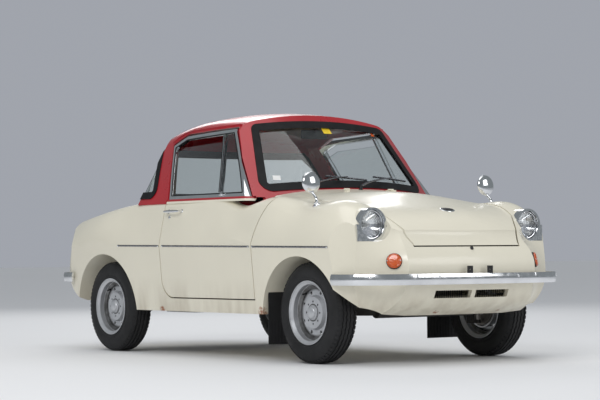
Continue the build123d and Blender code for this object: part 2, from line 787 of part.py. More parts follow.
def bumper(row, end):
    """Left half of a bumper blade with its stay, end 1 at the nose, -1 at the tail."""
    middle_z = BUMPER_LOW_Z + BUMPER_HEIGHT / 2
    half = BUMPER_HEIGHT / 2
    face_x = row["centre_x"]
    edge_x = face_x - end * BUMPER_BOW
    back_x = face_x - end * BUMPER_DEPTH
    front = TangentArc((face_x, 0), (row["knee_x"], row["knee_y"]), tangent=(0, 1))
    corner = TangentArc(front @ 1, (row["corner_x"], row["corner_y"]), tangent=front % 1)
    side = TangentArc(corner @ 1, (row["end_x"], row["end_y"]), tangent=corner % 1)
    path = Pos(0, 0, middle_z) * Wire([front, corner, side])
    section = Plane.XZ * Face(Wire([
        ThreePointArc(
            (edge_x, middle_z - half), (face_x, middle_z), (edge_x, middle_z + half)
        ),
        Line((edge_x, middle_z + half), (back_x, middle_z + half)),
        Line((back_x, middle_z + half), (back_x, middle_z - half)),
        Line((back_x, middle_z - half), (edge_x, middle_z - half)),
    ]))
    return sweep(section, path=path)


def bumper_stay(row, end):
    share = (BUMPER_STAY_Y / row["knee_y"]) ** 2
    blade_x = row["centre_x"] - share * (row["centre_x"] - row["knee_x"]) - end * BUMPER_DEPTH / 2
    low_x, high_x = sorted((blade_x, blade_x - end * BUMPER_STAY_REACH))
    middle_z = BUMPER_LOW_Z + BUMPER_HEIGHT / 2
    return block(
        (low_x, BUMPER_STAY_Y - BUMPER_STAY_HALF, middle_z - BUMPER_STAY_HEIGHT / 2),
        (high_x, BUMPER_STAY_Y + BUMPER_STAY_HALF, middle_z + BUMPER_STAY_HEIGHT / 2),
    )


os.makedirs("parts", exist_ok=True)

body_skin = lower_body()
body_inner = lower_body(BODY_WALL)
door_inner = lower_body(DOOR_WALL)
glass_skin = greenhouse()
glass_inner = greenhouse(ROOF_WALL)

# Body shell with wheel houses, then the panels cut from it
front_arch = (FRONT_ARCH_X, FRONT_ARCH_Z, FRONT_ARCH_IN)
rear_arch = (REAR_ARCH_X, REAR_ARCH_Z, REAR_ARCH_IN)
cavity = body_inner - [arch(*front_arch, ARCH_WALL), arch(*rear_arch, ARCH_WALL)]
shell = body_skin - [cavity, arch(*front_arch, 0), arch(*rear_arch, 0)]

moving_y = HINGE_Y + KNUCKLE_LENGTH + SEAT_GAP
bonnet = shell & push_up(bonnet_outline(0), BONNET_LIP_Z, TOP)
write("bonnet", whole(bonnet + lid_knuckle(BONNET_HINGE_X, BONNET_HINGE_Z, moving_y, LEAF_REACH)))
engine_lid = shell & push_up(engine_lid_outline(0), ENGINE_LID_LOW_Z, TOP)
write("engine_lid", whole(engine_lid + lid_knuckle(LID_HINGE_X, LID_HINGE_Z, moving_y, -LEAF_REACH)))

door_opening = push_left(door_outline(PANEL_GAP), DOOR_INNER_Y - PANEL_GAP, OUT)
pod = push_ahead(bezel_face(), HEADLAMP_X - HEADLAMP_POD_DEPTH, HEADLAMP_X - BEZEL_BACK)
front_tools = [
    push_up(bonnet_outline(PANEL_GAP), BONNET_LIP_Z - PANEL_GAP, TOP),
    push_ahead(lens_circle(PANEL_GAP), HEADLAMP_X - HEADLAMP_LENS_DEPTH, NOSE),
    push_ahead(bezel_face(SEAT_GAP), HEADLAMP_X - BEZEL_BACK, NOSE),
    block((APRON_BACK_X, APRON_SLOT_IN, APRON_SLOT_LOW_Z), (NOSE, APRON_SLOT_OUT, APRON_SLOT_HIGH_Z)),
    push_left(polygon(APRON_CUT), 0, OUT),
    block(
        (FRONT_AXLE_X - AXLE_SLOT_REACH[0], FRONT_ARCH_IN - AXLE_SLOT_SIDES[0], 0),
        (AXLE_TUBE_X + AXLE_SLOT_REACH[1], FRONT_ARCH_IN + AXLE_SLOT_SIDES[1], AXLE_SLOT_HIGH_Z),
    ),
    door_opening,
    glass_skin,
]
front_zone = block((SILL_FRONT_X, 0, 0), (NOSE, OUT, TOP))
front_body = (shell & front_zone) + (pod - body_inner)
front_fittings = [lid_knuckle(BONNET_HINGE_X, BONNET_HINGE_Z, HINGE_Y, -LEAF_REACH)]
plate_back_x = DOOR_FRONT_X + PANEL_GAP + HINGE_PLATE_SINK
for z in HINGE_PLATES_Z:
    front_fittings.append(block(
        (DOOR_FRONT_X + SEAT_GAP, HINGE_PLATE_Y, z - HINGE_PLATE_HEIGHT / 2),
        (plate_back_x, HINGE_PLATE_Y + HINGE_PLATE_WIDTH, z + HINGE_PLATE_HEIGHT / 2),
    ))
write("front_body", whole((front_body - front_tools) + front_fittings))

rear_zone = block((-NOSE, 0, 0), (SILL_REAR_X, OUT, TOP))
rear_tools = [
    push_up(engine_lid_outline(PANEL_GAP), ENGINE_LID_LOW_Z - PANEL_GAP, TOP),
    block(
        (REAR_AXLE_X - ARM_SLOT_REACH[0], REAR_ARCH_IN - ARM_SLOT_SIDES[0], 0),
        (REAR_AXLE_X + ARM_SLOT_REACH[1], REAR_ARCH_IN + ARM_SLOT_SIDES[1], ARM_SLOT_HIGH_Z),
    ),
    door_opening,
    glass_skin,
]
rear_body = (shell & rear_zone) - rear_tools
write("rear_body", whole(rear_body + lid_knuckle(LID_HINGE_X, LID_HINGE_Z, HINGE_Y, LEAF_REACH)))

sill_zone = block((SILL_REAR_X, SILL_ZONE_Y, 0), (SILL_FRONT_X, OUT, DOOR_BOTTOM_Z - PANEL_GAP))
sill = (shell & sill_zone) - door_opening
trays = block((REAR_BULKHEAD_X, 0, FLOOR_Z), (FIREWALL_X, OUT, FLOOR_Z + FLOOR_THICKNESS)) & cavity
luggage_floor = cavity & block(
    (FIREWALL_X + BULKHEAD_THICKNESS, 0, LUGGAGE_FLOOR_Z),
    (LUGGAGE_FLOOR_NOSE_X, FRONT_ARCH_IN, LUGGAGE_FLOOR_Z + LUGGAGE_FLOOR_THICKNESS),
)
jack_pad = block(
    (JACK_PAD_X - JACK_PAD_HALF, JACK_PAD_Y - JACK_PAD_HALF, FLOOR_Z - JACK_PAD_THICKNESS),
    (JACK_PAD_X + JACK_PAD_HALF, JACK_PAD_Y + JACK_PAD_HALF, FLOOR_Z),
)
write("floor_pan", whole(trays + sill + jack_pad), whole(luggage_floor))
bulkheads = []
for x, top_z in ((FIREWALL_X, FIREWALL_TOP_Z), (REAR_BULKHEAD_X - BULKHEAD_THICKNESS, REAR_BULKHEAD_TOP_Z)):
    plate = block((x, 0, FLOOR_Z), (x + BULKHEAD_THICKNESS, OUT, top_z)) & cavity
    bulkheads.append(whole(plate - [door_opening, glass_skin]))
write("bulkheads", *bulkheads)

# Screens and roof
screen_hole = push_ahead(offset(screen_outline(), -RUBBER_WIDTH), SCREEN_BACK_X, SCREEN_FRONT_X)
screen_slab = push_ahead(screen_outline(), SCREEN_BACK_X, SCREEN_FRONT_X)
rear_hole = push_left(offset(rear_screen_outline(), -RUBBER_WIDTH).face(), -LAP, OUT)
rear_slab = push_left(rear_screen_outline().face(), -LAP, OUT)
rubber = greenhouse(-RUBBER_PROUD) - glass_inner
pane = greenhouse(GLASS_INSET) - greenhouse(GLASS_INSET + GLASS_THICKNESS)
write("windscreen_rubber", whole((rubber & screen_slab) - screen_hole))
write("windscreen", whole(pane & screen_hole))
write("rear_screen_rubber", whole((rubber & rear_slab) - rear_hole))
write("rear_screen", whole(pane & rear_hole))

waist_hole = polygon([
    (DOOR_REAR_X - PANEL_GAP, BELT_Z - WAIST_DEPTH),
    (DOOR_REAR_X - PANEL_GAP, FRAME_LOW_REAR[1]),
    (FRAME_LOW_FRONT[0] + WAIST_HOLE_OUT, FRAME_LOW_REAR[1]),
    (FRAME_LOW_FRONT[0] + WAIST_HOLE_OUT, BELT_Z + PANEL_GAP),
    (DOOR_TOP_FRONT_X + PANEL_GAP, BELT_Z + PANEL_GAP),
    (DOOR_TOP_FRONT_X + PANEL_GAP, BELT_Z - WAIST_DEPTH),
])
roof = glass_skin - [
    glass_inner,
    screen_slab,
    rear_slab,
    push_left(frame_outline(FRAME_GAP), FRAME_INNER_Y, OUT),
    push_left(waist_hole, DOOR_INNER_Y - WAIST_HOLE_IN, OUT),
]
write("roof", whole(roof))

# Doors, with a waist rail below the glass
waist = polygon([
    (DOOR_REAR_X, BELT_Z - WAIST_LAP),
    (DOOR_REAR_X, FRAME_LOW_REAR[1]),
    (FRAME_LOW_FRONT[0], FRAME_LOW_REAR[1]),
    (FRAME_LOW_FRONT[0] + WAIST_FRONT_OUT, BELT_Z - WAIST_LAP),
])
door = (body_skin & push_left(door_outline(0), DOOR_INNER_Y, OUT)) - [door_inner, glass_skin]
waist_rail = (glass_skin & push_left(waist, DOOR_INNER_Y - WAIST_RAIL_IN, OUT)) - glass_inner
divider = push_left(polygon([
    (DIVIDER_LOW_X - DIVIDER_HALF, FRAME_LOW_REAR[1]),
    (DIVIDER_LOW_X + DIVIDER_HALF, FRAME_LOW_REAR[1]),
    (DIVIDER_HIGH_X + DIVIDER_HALF, FRAME_HIGH_FRONT[1]),
    (DIVIDER_HIGH_X - DIVIDER_HALF, FRAME_HIGH_FRONT[1]),
]), FRAME_INNER_Y, OUT)
frame_slab = push_left(frame_outline(0), FRAME_INNER_Y, OUT)
frame_hole = push_left(offset(frame_outline(0), -FRAME_BAR).face(), FRAME_INNER_Y, OUT)
frame_bars = (frame_slab - frame_hole) + (divider & frame_slab)
frame = (glass_skin & frame_bars) - glass_inner
side_panes = (pane & frame_hole) - divider
quarter_zone = block((DIVIDER_HIGH_X, 0, 0), (NOSE, OUT, TOP))
quarter_light = (side_panes & quarter_zone).solids().sort_by(Axis.X)[-1]
drop_glass = side_panes.solids().sort_by(Axis.X)[0] & (Pos(0, 0, -GLASS_LOWERED) * frame_hole)
handle = block(
    (HANDLE_X, HANDLE_Y, HANDLE_Z - HANDLE_HEIGHT / 2),
    (HANDLE_X + HANDLE_LENGTH, HANDLE_Y + HANDLE_SHEET, HANDLE_Z + HANDLE_HEIGHT / 2),
)
for x in (HANDLE_X, HANDLE_X + HANDLE_LENGTH - HANDLE_FOOT):
    handle += block(
        (x, HANDLE_Y - HANDLE_FOOT_REACH, HANDLE_Z - HANDLE_HEIGHT / 2),
        (x + HANDLE_FOOT, HANDLE_Y, HANDLE_Z + HANDLE_HEIGHT / 2),
    )
for name, pieces in (
    ("door", [door + waist_rail]),
    ("door_frame", [frame]),
    ("door_glass", [quarter_light, drop_glass]),
    ("door_handle", [handle - body_skin]),
):
    write(f"{name}_left", *pieces)
    write(f"{name}_right", *[other(piece) for piece in pieces])

# Wheels and what carries them
left_wheel = wheel()
right_wheel = other(left_wheel)
plain_tyre = tyre()
for name, x, y, turned in (
    ("front_left", FRONT_AXLE_X, FRONT_TRACK / 2, left_wheel),
    ("front_right", FRONT_AXLE_X, -FRONT_TRACK / 2, right_wheel),
    ("rear_left", REAR_AXLE_X, REAR_TRACK / 2, left_wheel),
    ("rear_right", REAR_AXLE_X, -REAR_TRACK / 2, right_wheel),
):
    place = Pos(x, y, TYRE_RADIUS)
    write(f"tyre_{name}", place * plain_tyre)
    write(f"wheel_{name}", place * turned)

kingpin = Pos(0, -KINGPIN_IN, 0) * Cylinder(KINGPIN_RADIUS, 2 * KINGPIN_HALF)
steering_arm = block(
    (-STEERING_ARM_LENGTH, -KINGPIN_IN - STEERING_ARM_HALF, -STEERING_ARM_THICKNESS / 2),
    (0, -KINGPIN_IN + STEERING_ARM_HALF, STEERING_ARM_THICKNESS / 2),
)
knuckle = Pos(FRONT_AXLE_X, FRONT_TRACK / 2, TYRE_RADIUS) * (stub_axle() + kingpin + steering_arm)
write("knuckle_left", knuckle)
write("knuckle_right", other(knuckle))

pin_y = FRONT_TRACK / 2 - KINGPIN_IN
ear_low = KINGPIN_HALF + SEAT_GAP
ear_high = ear_low + EAR_HEIGHT
lock = math.radians(STEERING_LOCK)
post_y = pin_y - (STEERING_ARM_HALF + RUNNING_GAP + LINK_HALF * math.sin(lock)) / math.cos(lock)
axle_z = TYRE_RADIUS
front_arms = across(AXLE_TUBE_X, axle_z, AXLE_TUBE_RADIUS, 0, AXLE_TUBE_HALF)
for low, high in ((ear_low, ear_high), (-ear_high, -ear_low)):
    front_arms += Pos(FRONT_AXLE_X, pin_y, axle_z + (low + high) / 2) * Cylinder(EAR_RADIUS, EAR_HEIGHT)
    front_arms += block(
        (FRONT_AXLE_X - LINK_HALF, post_y - 2 * LINK_HALF, axle_z + low),
        (FRONT_AXLE_X + LINK_HALF, pin_y, axle_z + high),
    )
front_arms += block(
    (FRONT_AXLE_X - LINK_HALF, post_y - 2 * LINK_HALF, axle_z - ear_high),
    (FRONT_AXLE_X + LINK_HALF, post_y, axle_z + ear_high),
)
front_arms += push_up(polygon([
    (FRONT_AXLE_X - LINK_HALF, post_y - LINK_HALF),
    (FRONT_AXLE_X + LINK_HALF, post_y),
    (AXLE_TUBE_X + LINK_HALF, AXLE_TUBE_HALF - LINK_HALF),
    (AXLE_TUBE_X - LINK_HALF, AXLE_TUBE_HALF - 2 * LINK_HALF),
]), axle_z - LINK_HEIGHT / 2, axle_z + LINK_HEIGHT / 2)
front_arms += block(
    (AXLE_TUBE_X - SADDLE_HALF, SADDLE_Y - SADDLE_HALF, axle_z),
    (AXLE_TUBE_X + SADDLE_HALF, SADDLE_Y + SADDLE_HALF, LUGGAGE_FLOOR_Z - SEAT_GAP),
)
write("front_suspension", whole(front_arms))

arm_y = REAR_ARM_Y
rear_half = Pos(REAR_AXLE_X, REAR_TRACK / 2, TYRE_RADIUS) * stub_axle()
carrier_end_y = REAR_TRACK / 2 - KINGPIN_IN + CARRIER_OVERLAP
rear_half += across(REAR_AXLE_X, TYRE_RADIUS, REAR_CARRIER_RADIUS, arm_y - REAR_ARM_HALF, carrier_end_y)
rear_half += across(
    REAR_AXLE_X, TYRE_RADIUS, HALF_SHAFT_RADIUS, ENGINE_WIDTH / 2 + SEAT_GAP, arm_y
)
rear_half += block(
    (REAR_AXLE_X - REAR_ARM_HALF, arm_y - REAR_ARM_HALF, REAR_ARM_LOW_Z),
    (REAR_BULKHEAD_X - BULKHEAD_THICKNESS - SEAT_GAP, arm_y + REAR_ARM_HALF, REAR_ARM_HIGH_Z),
)
rear_half += block(
    (CROSSMEMBER_X - CROSSMEMBER_HALF, 0, REAR_ARM_LOW_Z),
    (CROSSMEMBER_X + CROSSMEMBER_HALF, REAR_ARCH_IN - ARCH_WALL - SEAT_GAP, REAR_ARM_HIGH_Z),
)
write("rear_suspension", whole(rear_half))

engine = block(
    (ENGINE_X - ENGINE_LENGTH / 2, 0, ENGINE_Z),
    (ENGINE_X + ENGINE_LENGTH / 2, ENGINE_WIDTH / 2, ENGINE_Z + ENGINE_HEIGHT),
)
gearbox = block(
    (GEARBOX_REAR_X, 0, GEARBOX_LOW_Z),
    (CROSSMEMBER_X - CROSSMEMBER_HALF - SEAT_GAP, ENGINE_WIDTH / 2, GEARBOX_LOW_Z + GEARBOX_HEIGHT),
)
write("engine", whole(engine + gearbox))

# Lamps
bezel = push_ahead(bezel_face(), HEADLAMP_X - BEZEL_BACK, HEADLAMP_X + BEZEL_PROUD)
bezel -= push_ahead(lens_circle(SEAT_GAP), HEADLAMP_X - HEADLAMP_LENS_DEPTH, NOSE)
indicator = push_ahead(
    Pos(INDICATOR_Y, INDICATOR_Z) * Circle(INDICATOR_RADIUS), INDICATOR_X - INDICATOR_DEPTH, INDICATOR_X
)
tail_lamp = push_ahead(
    Pos(TAIL_LAMP_Y, TAIL_LAMP_Z) * RectangleRounded(TAIL_LAMP_WIDTH, TAIL_LAMP_HEIGHT, TAIL_LAMP_CORNER),
    TAIL_LAMP_X, TAIL_LAMP_X + TAIL_LAMP_DEPTH,
)
for name, piece in (
    ("headlamp_lenses", push_ahead(lens_circle(), HEADLAMP_X - HEADLAMP_LENS_DEPTH + SEAT_GAP, HEADLAMP_X)),
    ("headlamp_bezels", bezel),
    ("front_indicators", indicator - body_skin),
    ("tail_lamps", tail_lamp - body_skin),
):
    write(name, piece, other(piece))

for name, table, end in (("front_bumper", FRONT_BUMPER, 1), ("rear_bumper", REAR_BUMPER, -1)):
    row = dict(zip(BUMPER_COLUMNS, table))
    write(name, whole(bumper(row, end) + (bumper_stay(row, end) - body_skin)))
bracket_low_z = BUMPER_LOW_Z + BUMPER_HEIGHT
bracket_high_z = bracket_low_z + PLATE_BRACKET_HEIGHT
bracket_x = FRONT_BUMPER[0] - BUMPER_BOW - PLATE_BRACKET_SHEET
bracket = block(
    (bracket_x, PLATE_BRACKET_Y - PLATE_BRACKET_WIDTH / 2, bracket_low_z),
    (bracket_x + PLATE_BRACKET_SHEET, PLATE_BRACKET_Y + PLATE_BRACKET_WIDTH / 2, bracket_high_z),
)
bolt_face = Pos(PLATE_BRACKET_Y, bracket_low_z + PLATE_BRACKET_HEIGHT / 2) * Circle(PLATE_BOLT_RADIUS)
bracket -= push_ahead(bolt_face, bracket_x - LAP, NOSE)
write("plate_brackets", bracket, other(bracket))

# Mirrors, wipers and mud flaps
foot = (MIRROR_X, MIRROR_Y, MIRROR_FOOT_Z)
neck = (MIRROR_HEAD_X + MIRROR_DEPTH / 2, MIRROR_Y, MIRROR_HEAD_Z - MIRROR_RADIUS / 2)
head = Plane(origin=(MIRROR_HEAD_X, MIRROR_Y, MIRROR_HEAD_Z), z_dir=(1, 0, MIRROR_NOD))
mirror_piece = rod(foot, neck, MIRROR_STEM_RADIUS) + extrude(head * Circle(MIRROR_RADIUS), MIRROR_DEPTH)
mirror_piece -= body_skin
write("fender_mirrors", mirror_piece, other(mirror_piece))

scuttle = whole(body_skin & block(SCUTTLE_LOW, SCUTTLE_HIGH))
wipers = []
for x, y in WIPER_PIVOTS:
    pivot = rod((x, y, WIPER_LOW_Z), (x, y, WIPER_HIGH_Z), WIPER_RADIUS)
    tip = tuple(a + b for a, b in zip((x, y, WIPER_HIGH_Z - WIPER_ARM_RADIUS), WIPER_ARM_REACH))
    arm = rod((x, y, WIPER_HIGH_Z - WIPER_ARM_RADIUS), tip, WIPER_ARM_RADIUS)
    wipers.append(pivot + arm - scuttle)
write("wipers", *wipers)

flap = block((FLAP_X - FLAP_SHEET, FLAP_IN_Y, FLAP_LOW_Z), (FLAP_X, FLAP_OUT_Y, FRONT_ARCH_Z + ARCH_RADIUS))
flap &= across(FRONT_ARCH_X, FRONT_ARCH_Z, ARCH_RADIUS - SEAT_GAP, 0, OUT)
write("mud_flaps", flap, other(flap))

# Interior
dash = block((DASH_X, 0, DASH_LOW_Z), (FIREWALL_X, OUT, DASH_HIGH_Z)) & cavity
write("dashboard", whole(dash - door_opening))
tilt = math.radians(COLUMN_TILT)
column_low_z = STEERING_WHEEL_Z - (FIREWALL_X - STEERING_WHEEL_X) * math.tan(tilt)
column = rod(
    (FIREWALL_X, COLUMN_Y, column_low_z), (STEERING_WHEEL_X, COLUMN_Y, STEERING_WHEEL_Z), COLUMN_RADIUS
)
column -= block((FIREWALL_X, -OUT, 0), (NOSE, OUT, TOP))
wheel_plane = Plane(
    origin=(STEERING_WHEEL_X, COLUMN_Y, STEERING_WHEEL_Z), z_dir=(-math.cos(tilt), 0, math.sin(tilt))
)
grip = Pos(STEERING_WHEEL_RADIUS, 0) * RegularPolygon(STEERING_GRIP_RADIUS, STEERING_GRIP_SIDES)
hoop = wheel_plane * revolve(Plane.XZ * grip, Axis.Z)
boss = extrude(wheel_plane * Circle(STEERING_BOSS_RADIUS), STEERING_BOSS_HEIGHT)
spoke = wheel_plane * Box(2 * STEERING_WHEEL_RADIUS, SPOKE_WIDTH, SPOKE_THICKNESS)
write("steering", column + hoop + boss + spoke)

seats = []
for y in (SEAT_Y, -SEAT_Y):
    cushion = block(
        (SEAT_X, y - SEAT_WIDTH / 2, CUSHION_Z - CUSHION_HEIGHT),
        (SEAT_X + CUSHION_LENGTH, y + SEAT_WIDTH / 2, CUSHION_Z),
    )
    back = Pos(SEAT_X, y, CUSHION_Z - BACK_SINK) * Rot(0, -BACK_LEAN, 0) * Pos(
        0, 0, BACK_HEIGHT / 2
    ) * Box(BACK_THICKNESS, SEAT_WIDTH, BACK_HEIGHT)
    stand = block(
        (SEAT_X + SEAT_STAND_INSET, y - SEAT_STAND_WIDTH / 2, FLOOR_Z + FLOOR_THICKNESS),
        (SEAT_X + CUSHION_LENGTH - SEAT_STAND_INSET, y + SEAT_STAND_WIDTH / 2, CUSHION_Z - CUSHION_HEIGHT),
    )
    seats.append(cushion + back + stand)
write("front_seats", *seats)
bench = block(
    (REAR_BULKHEAD_X, -BENCH_HALF, FLOOR_Z + FLOOR_THICKNESS),
    (REAR_BULKHEAD_X + BENCH_LENGTH, BENCH_HALF, BENCH_HIGH_Z),
)
bench += block(
    (REAR_BULKHEAD_X, -BENCH_HALF, BENCH_HIGH_Z),
    (REAR_BULKHEAD_X + BENCH_BACK_THICKNESS, BENCH_HALF, BENCH_BACK_HIGH_Z),
)
write("rear_seat", bench)
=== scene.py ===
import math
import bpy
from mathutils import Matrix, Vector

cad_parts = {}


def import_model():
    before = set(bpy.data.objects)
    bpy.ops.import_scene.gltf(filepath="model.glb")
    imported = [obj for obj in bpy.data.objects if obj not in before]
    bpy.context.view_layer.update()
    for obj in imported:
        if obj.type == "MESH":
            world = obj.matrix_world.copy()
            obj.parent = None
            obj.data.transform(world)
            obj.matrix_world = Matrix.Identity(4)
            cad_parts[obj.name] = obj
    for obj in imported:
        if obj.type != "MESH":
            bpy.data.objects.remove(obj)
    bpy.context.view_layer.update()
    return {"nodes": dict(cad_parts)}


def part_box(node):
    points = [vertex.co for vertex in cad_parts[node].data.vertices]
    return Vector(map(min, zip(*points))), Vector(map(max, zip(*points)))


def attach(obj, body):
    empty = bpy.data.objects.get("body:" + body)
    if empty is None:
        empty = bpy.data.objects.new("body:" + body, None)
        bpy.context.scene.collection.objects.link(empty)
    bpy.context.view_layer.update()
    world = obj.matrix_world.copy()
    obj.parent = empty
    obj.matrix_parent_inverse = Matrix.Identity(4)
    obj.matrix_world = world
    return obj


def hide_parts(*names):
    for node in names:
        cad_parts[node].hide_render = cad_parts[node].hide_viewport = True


bl_info = {
    "name": "Small rear-engined coupe",
    "version": (1, 0, 0),
    "blender": (4, 5, 0),
    "location": "View3D > Sidebar > Coupe",
    "description": "Finishes, glass, trim, tyres and cabin fittings of a small two-door car",
    "category": "Object",
}

import bmesh
import bpy
from mathutils import Matrix, Vector, noise
from mathutils.bvhtree import BVHTree

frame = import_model()

# All lengths are metres. +X forward, +Y left, +Z up, origin on the ground.
MM = 0.001
CORNERS = ("front_left", "front_right", "rear_left", "rear_right")
SIDES = (("left", 1), ("right", -1))
SMOOTH_BELOW = math.radians(32)
BELT_Z = 0.783
DOOR_REAR_X = -0.280
DOOR_SEAM_X = 0.548
HEADLAMP = (1.276, 0.471, 0.643)
LENS_RADIUS = 0.066
INDICATOR = (0.423, 0.476)
TAIL_LAMP = (0.500, 0.610)
TAIL_LAMP_SIZE = (0.044, 0.096, 0.018)
TRIM_REAR_X = -0.700
TRIM_REAR_Z = 0.561
TRIM_FRONT_X = 1.172
TRIM_FRONT_Z = 0.542
GUTTER = ((-0.405, 1.096), (-0.270, 1.140), (-0.040, 1.151), (0.190, 1.156))
MIRROR_Y = 0.537
MIRROR_HEAD = (0.900, 0.845)
MIRROR_FOOT_X = 0.948
MIRROR_NOD = 0.1
WIPER_PIVOTS = ((0.568, -0.298), (0.588, 0.0))
WIPER_Z = 0.846
BLADE_START = 0.150
BLADE_LENGTH = 0.240
BLADE_Z = 0.892
BLADE_RISE = -0.018
FRAME_OUTLINE = ((-0.262, 0.794), (-0.388, 1.078), (-0.262, 1.122), (0.180, 1.138), (0.432, 0.794))
FRAME_BAR = 0.022
DIVIDER_LINE = ((0.190, 0.822), (0.0896, 1.108))
CATCH_PLACE = (0.215, 0.806)
BUMPER_MIDDLE_Z = 0.393
BUMPER_BOLTS = (0.237, 0.562)
BUMPER_JOINT_Y = 0.356
PLATE_BRACKET_Y = 0.060
BADGE_X = 1.250
CATCH_Z = 0.532
SCREEN_LABELS = (
    ("label_yellow", "yellow_label", 0.016, 1.135, 0.050, 0.040),
    ("label_orange", "orange_label", 0.328, 1.125, 0.022, 0.022),
    ("label_white", "white_label", -0.400, 0.885, 0.040, 0.030),
)
SLOT_MESH_X = 1.372
SLOT_WIRES = 18
LOUVRE_X = -0.965
LOUVRE_PITCH = 0.030
LID_HANDLE_Z = 0.585
PLATE_LAMP_Z = 0.640
EXHAUST_ROUTE = ((-1.10, -0.20, 0.300), (-1.22, -0.24, 0.235), (-1.34, -0.30, 0.225), (-1.455, -0.31, 0.225))
FLAP_IN_Y = 0.372
FLAP_OUT_Y = 0.600
FLAP_RIBS = 12
FLOOR_TOP_Z = 0.264
DIAL_Z = 0.697
DIAL_TICKS = 25
KNOB_PLACES = (-0.140, -0.100, -0.060, 0.060)
INSIDE_MIRROR = (0.190, 0.0, 1.120)
COLUMN_Y = -0.250
COLUMN_TILT = 35.0
STEERING_X = 0.330
STEERING_Z = 0.700
STEERING_RADIUS = 0.190
GEAR_LEVER = ((0.250, 0.0, 0.265), (0.235, 0.0, 0.360), (0.210, 0.0, 0.450), (0.205, 0.0, 0.500))
HAND_BRAKE = ((0.060, 0.0, 0.275), (0.120, 0.0, 0.300), (0.160, 0.0, 0.330))
PEDALS_Y = (-0.175, -0.250, -0.325)
SEAT_X = -0.040
SEAT_Y = 0.250
SEAT_TOP_Z = 0.400
SEAT_LEAN = 14.0
SEAT_CUSHION = (0.440, 0.400, 0.110)
SEAT_BACK = (0.420, 0.400, 0.090)
SEAT_BACK_SINK = 0.040
SEAT_STAND_WIDTH = 0.300
BENCH_X = -0.470
BENCH_TOP_Z = 0.420
BENCH_CUSHION = (0.250, 0.880, 0.120)
BENCH_BACK = (0.266, 0.880, 0.070)
PAD_VOXEL = 0.009
PAD_PRESSURE = 4.0
PAD_FRAMES = 20
PAD_SHRINK = 0.016
PAD_BORDER = 0.058
PIPING_INSET = 0.066
SEAM_HALF = 0.0065
SEAM_DEPTH = 0.0060
STITCH_PITCH = 0.0075
# near-black colour of the painted shade in the wheel wells and round the hub caps
WHEEL_SHADE = (0.045, 0.042, 0.038, 1.0)
FINISH = {}


# Nodes

def add(tree, kind, sockets=None, **settings):
    """One node, its sockets set from values or linked from other sockets."""
    node = tree.nodes.new(kind)
    for key, value in settings.items():
        setattr(node, key, value)
    for key, value in (sockets or {}).items():
        if isinstance(value, bpy.types.NodeSocket):
            tree.links.new(value, node.inputs[key])
        else:
            node.inputs[key].default_value = value
    return node


def place_of(tree, stretch=(1.0, 1.0, 1.0)):
    where = add(tree, "ShaderNodeTexCoord").outputs["Object"]
    return add(tree, "ShaderNodeMapping", {"Vector": where, "Scale": stretch}).outputs[0]


def mottle(tree, scale, detail=3.0, stretch=(1.0, 1.0, 1.0)):
    sockets = {"Vector": place_of(tree, stretch), "Scale": scale, "Detail": detail}
    return add(tree, "ShaderNodeTexNoise", sockets).outputs[0]


def ramp(tree, value, from_low, from_high, to_low=0.0, to_high=1.0):
    sockets = {0: value, 1: from_low, 2: from_high, 3: to_low, 4: to_high}
    return add(tree, "ShaderNodeMapRange", sockets).outputs[0]


def combine(tree, operation, first, second=0.0):
    return add(tree, "ShaderNodeMath", {0: first, 1: second}, operation=operation).outputs[0]


def between(tree, factor, first, second):
    """Colour that goes from first to second with the factor."""
    sockets = {0: factor, 6: first, 7: second}
    return add(tree, "ShaderNodeMix", sockets, data_type="RGBA").outputs[2]


def shade(colour, level):
    return (*[min(1.0, part * level) for part in colour[:3]], 1.0)


def bumped(tree, height, distance, strength=1.0):
    sockets = {"Height": height, "Distance": distance, "Strength": strength}
    return add(tree, "ShaderNodeBump", sockets).outputs[0]


def finish(name, colour, roughness, metallic=0.0, spread=0.06, patch=6.0, gloss_spread=0.08,
           grain=0.0, grain_scale=900.0, grain_stretch=(1.0, 1.0, 1.0), **sockets):
    """A finish whose colour and gloss drift over the piece, with a fine grain."""
    made = bpy.data.materials.new(name)
    made.use_nodes = True
    tree = made.node_tree
    shader = tree.nodes["Principled BSDF"]
    drift = ramp(tree, mottle(tree, patch, 5.0), 0.3, 0.7)
    tone = between(tree, drift, shade(colour, 1 - spread), shade(colour, 1 + spread))
    tree.links.new(tone, shader.inputs["Base Color"])
    dull = ramp(tree, mottle(tree, patch * 4, 4.0), 0.3, 0.7, roughness - gloss_spread / 2, roughness + gloss_spread)
    tree.links.new(dull, shader.inputs["Roughness"])
    shader.inputs["Metallic"].default_value = metallic
    for key, value in sockets.items():
        shader.inputs[key.replace("_", " ").title().replace("Ior", "IOR")].default_value = value
    if grain:
        fine = mottle(tree, grain_scale, 2.0, grain_stretch)
        tree.links.new(bumped(tree, fine, grain), shader.inputs["Normal"])
    FINISH[name] = made
    return made


def height_of(tree):
    """The Z of the surface point."""
    where = add(tree, "ShaderNodeTexCoord").outputs["Object"]
    return add(tree, "ShaderNodeSeparateXYZ", {0: where}).outputs[2]


def spot(tree, centre, radius, ragged=0.5):
    """1 inside a ragged patch round a point, 0 outside."""
    where = add(tree, "ShaderNodeTexCoord").outputs["Object"]
    away = add(tree, "ShaderNodeVectorMath", {0: where, 1: centre}, operation="DISTANCE").outputs["Value"]
    rough = ramp(tree, mottle(tree, 60.0, 4.0), 0.3, 0.7, -ragged * radius, ragged * radius)
    return ramp(tree, combine(tree, "ADD", away, rough), radius, radius * 0.35)


RUST_SPOTS = (
    ((1.432, -0.300, 0.285), 0.016),
    ((1.395, 0.470, 0.330), 0.014),
    ((1.340, -0.150, 0.232), 0.020),
    ((1.330, 0.240, 0.232), 0.015),
    ((0.600, -0.612, 0.228), 0.030),
    ((-0.300, -0.612, 0.228), 0.026),
    ((-0.520, 0.612, 0.230), 0.030),
)


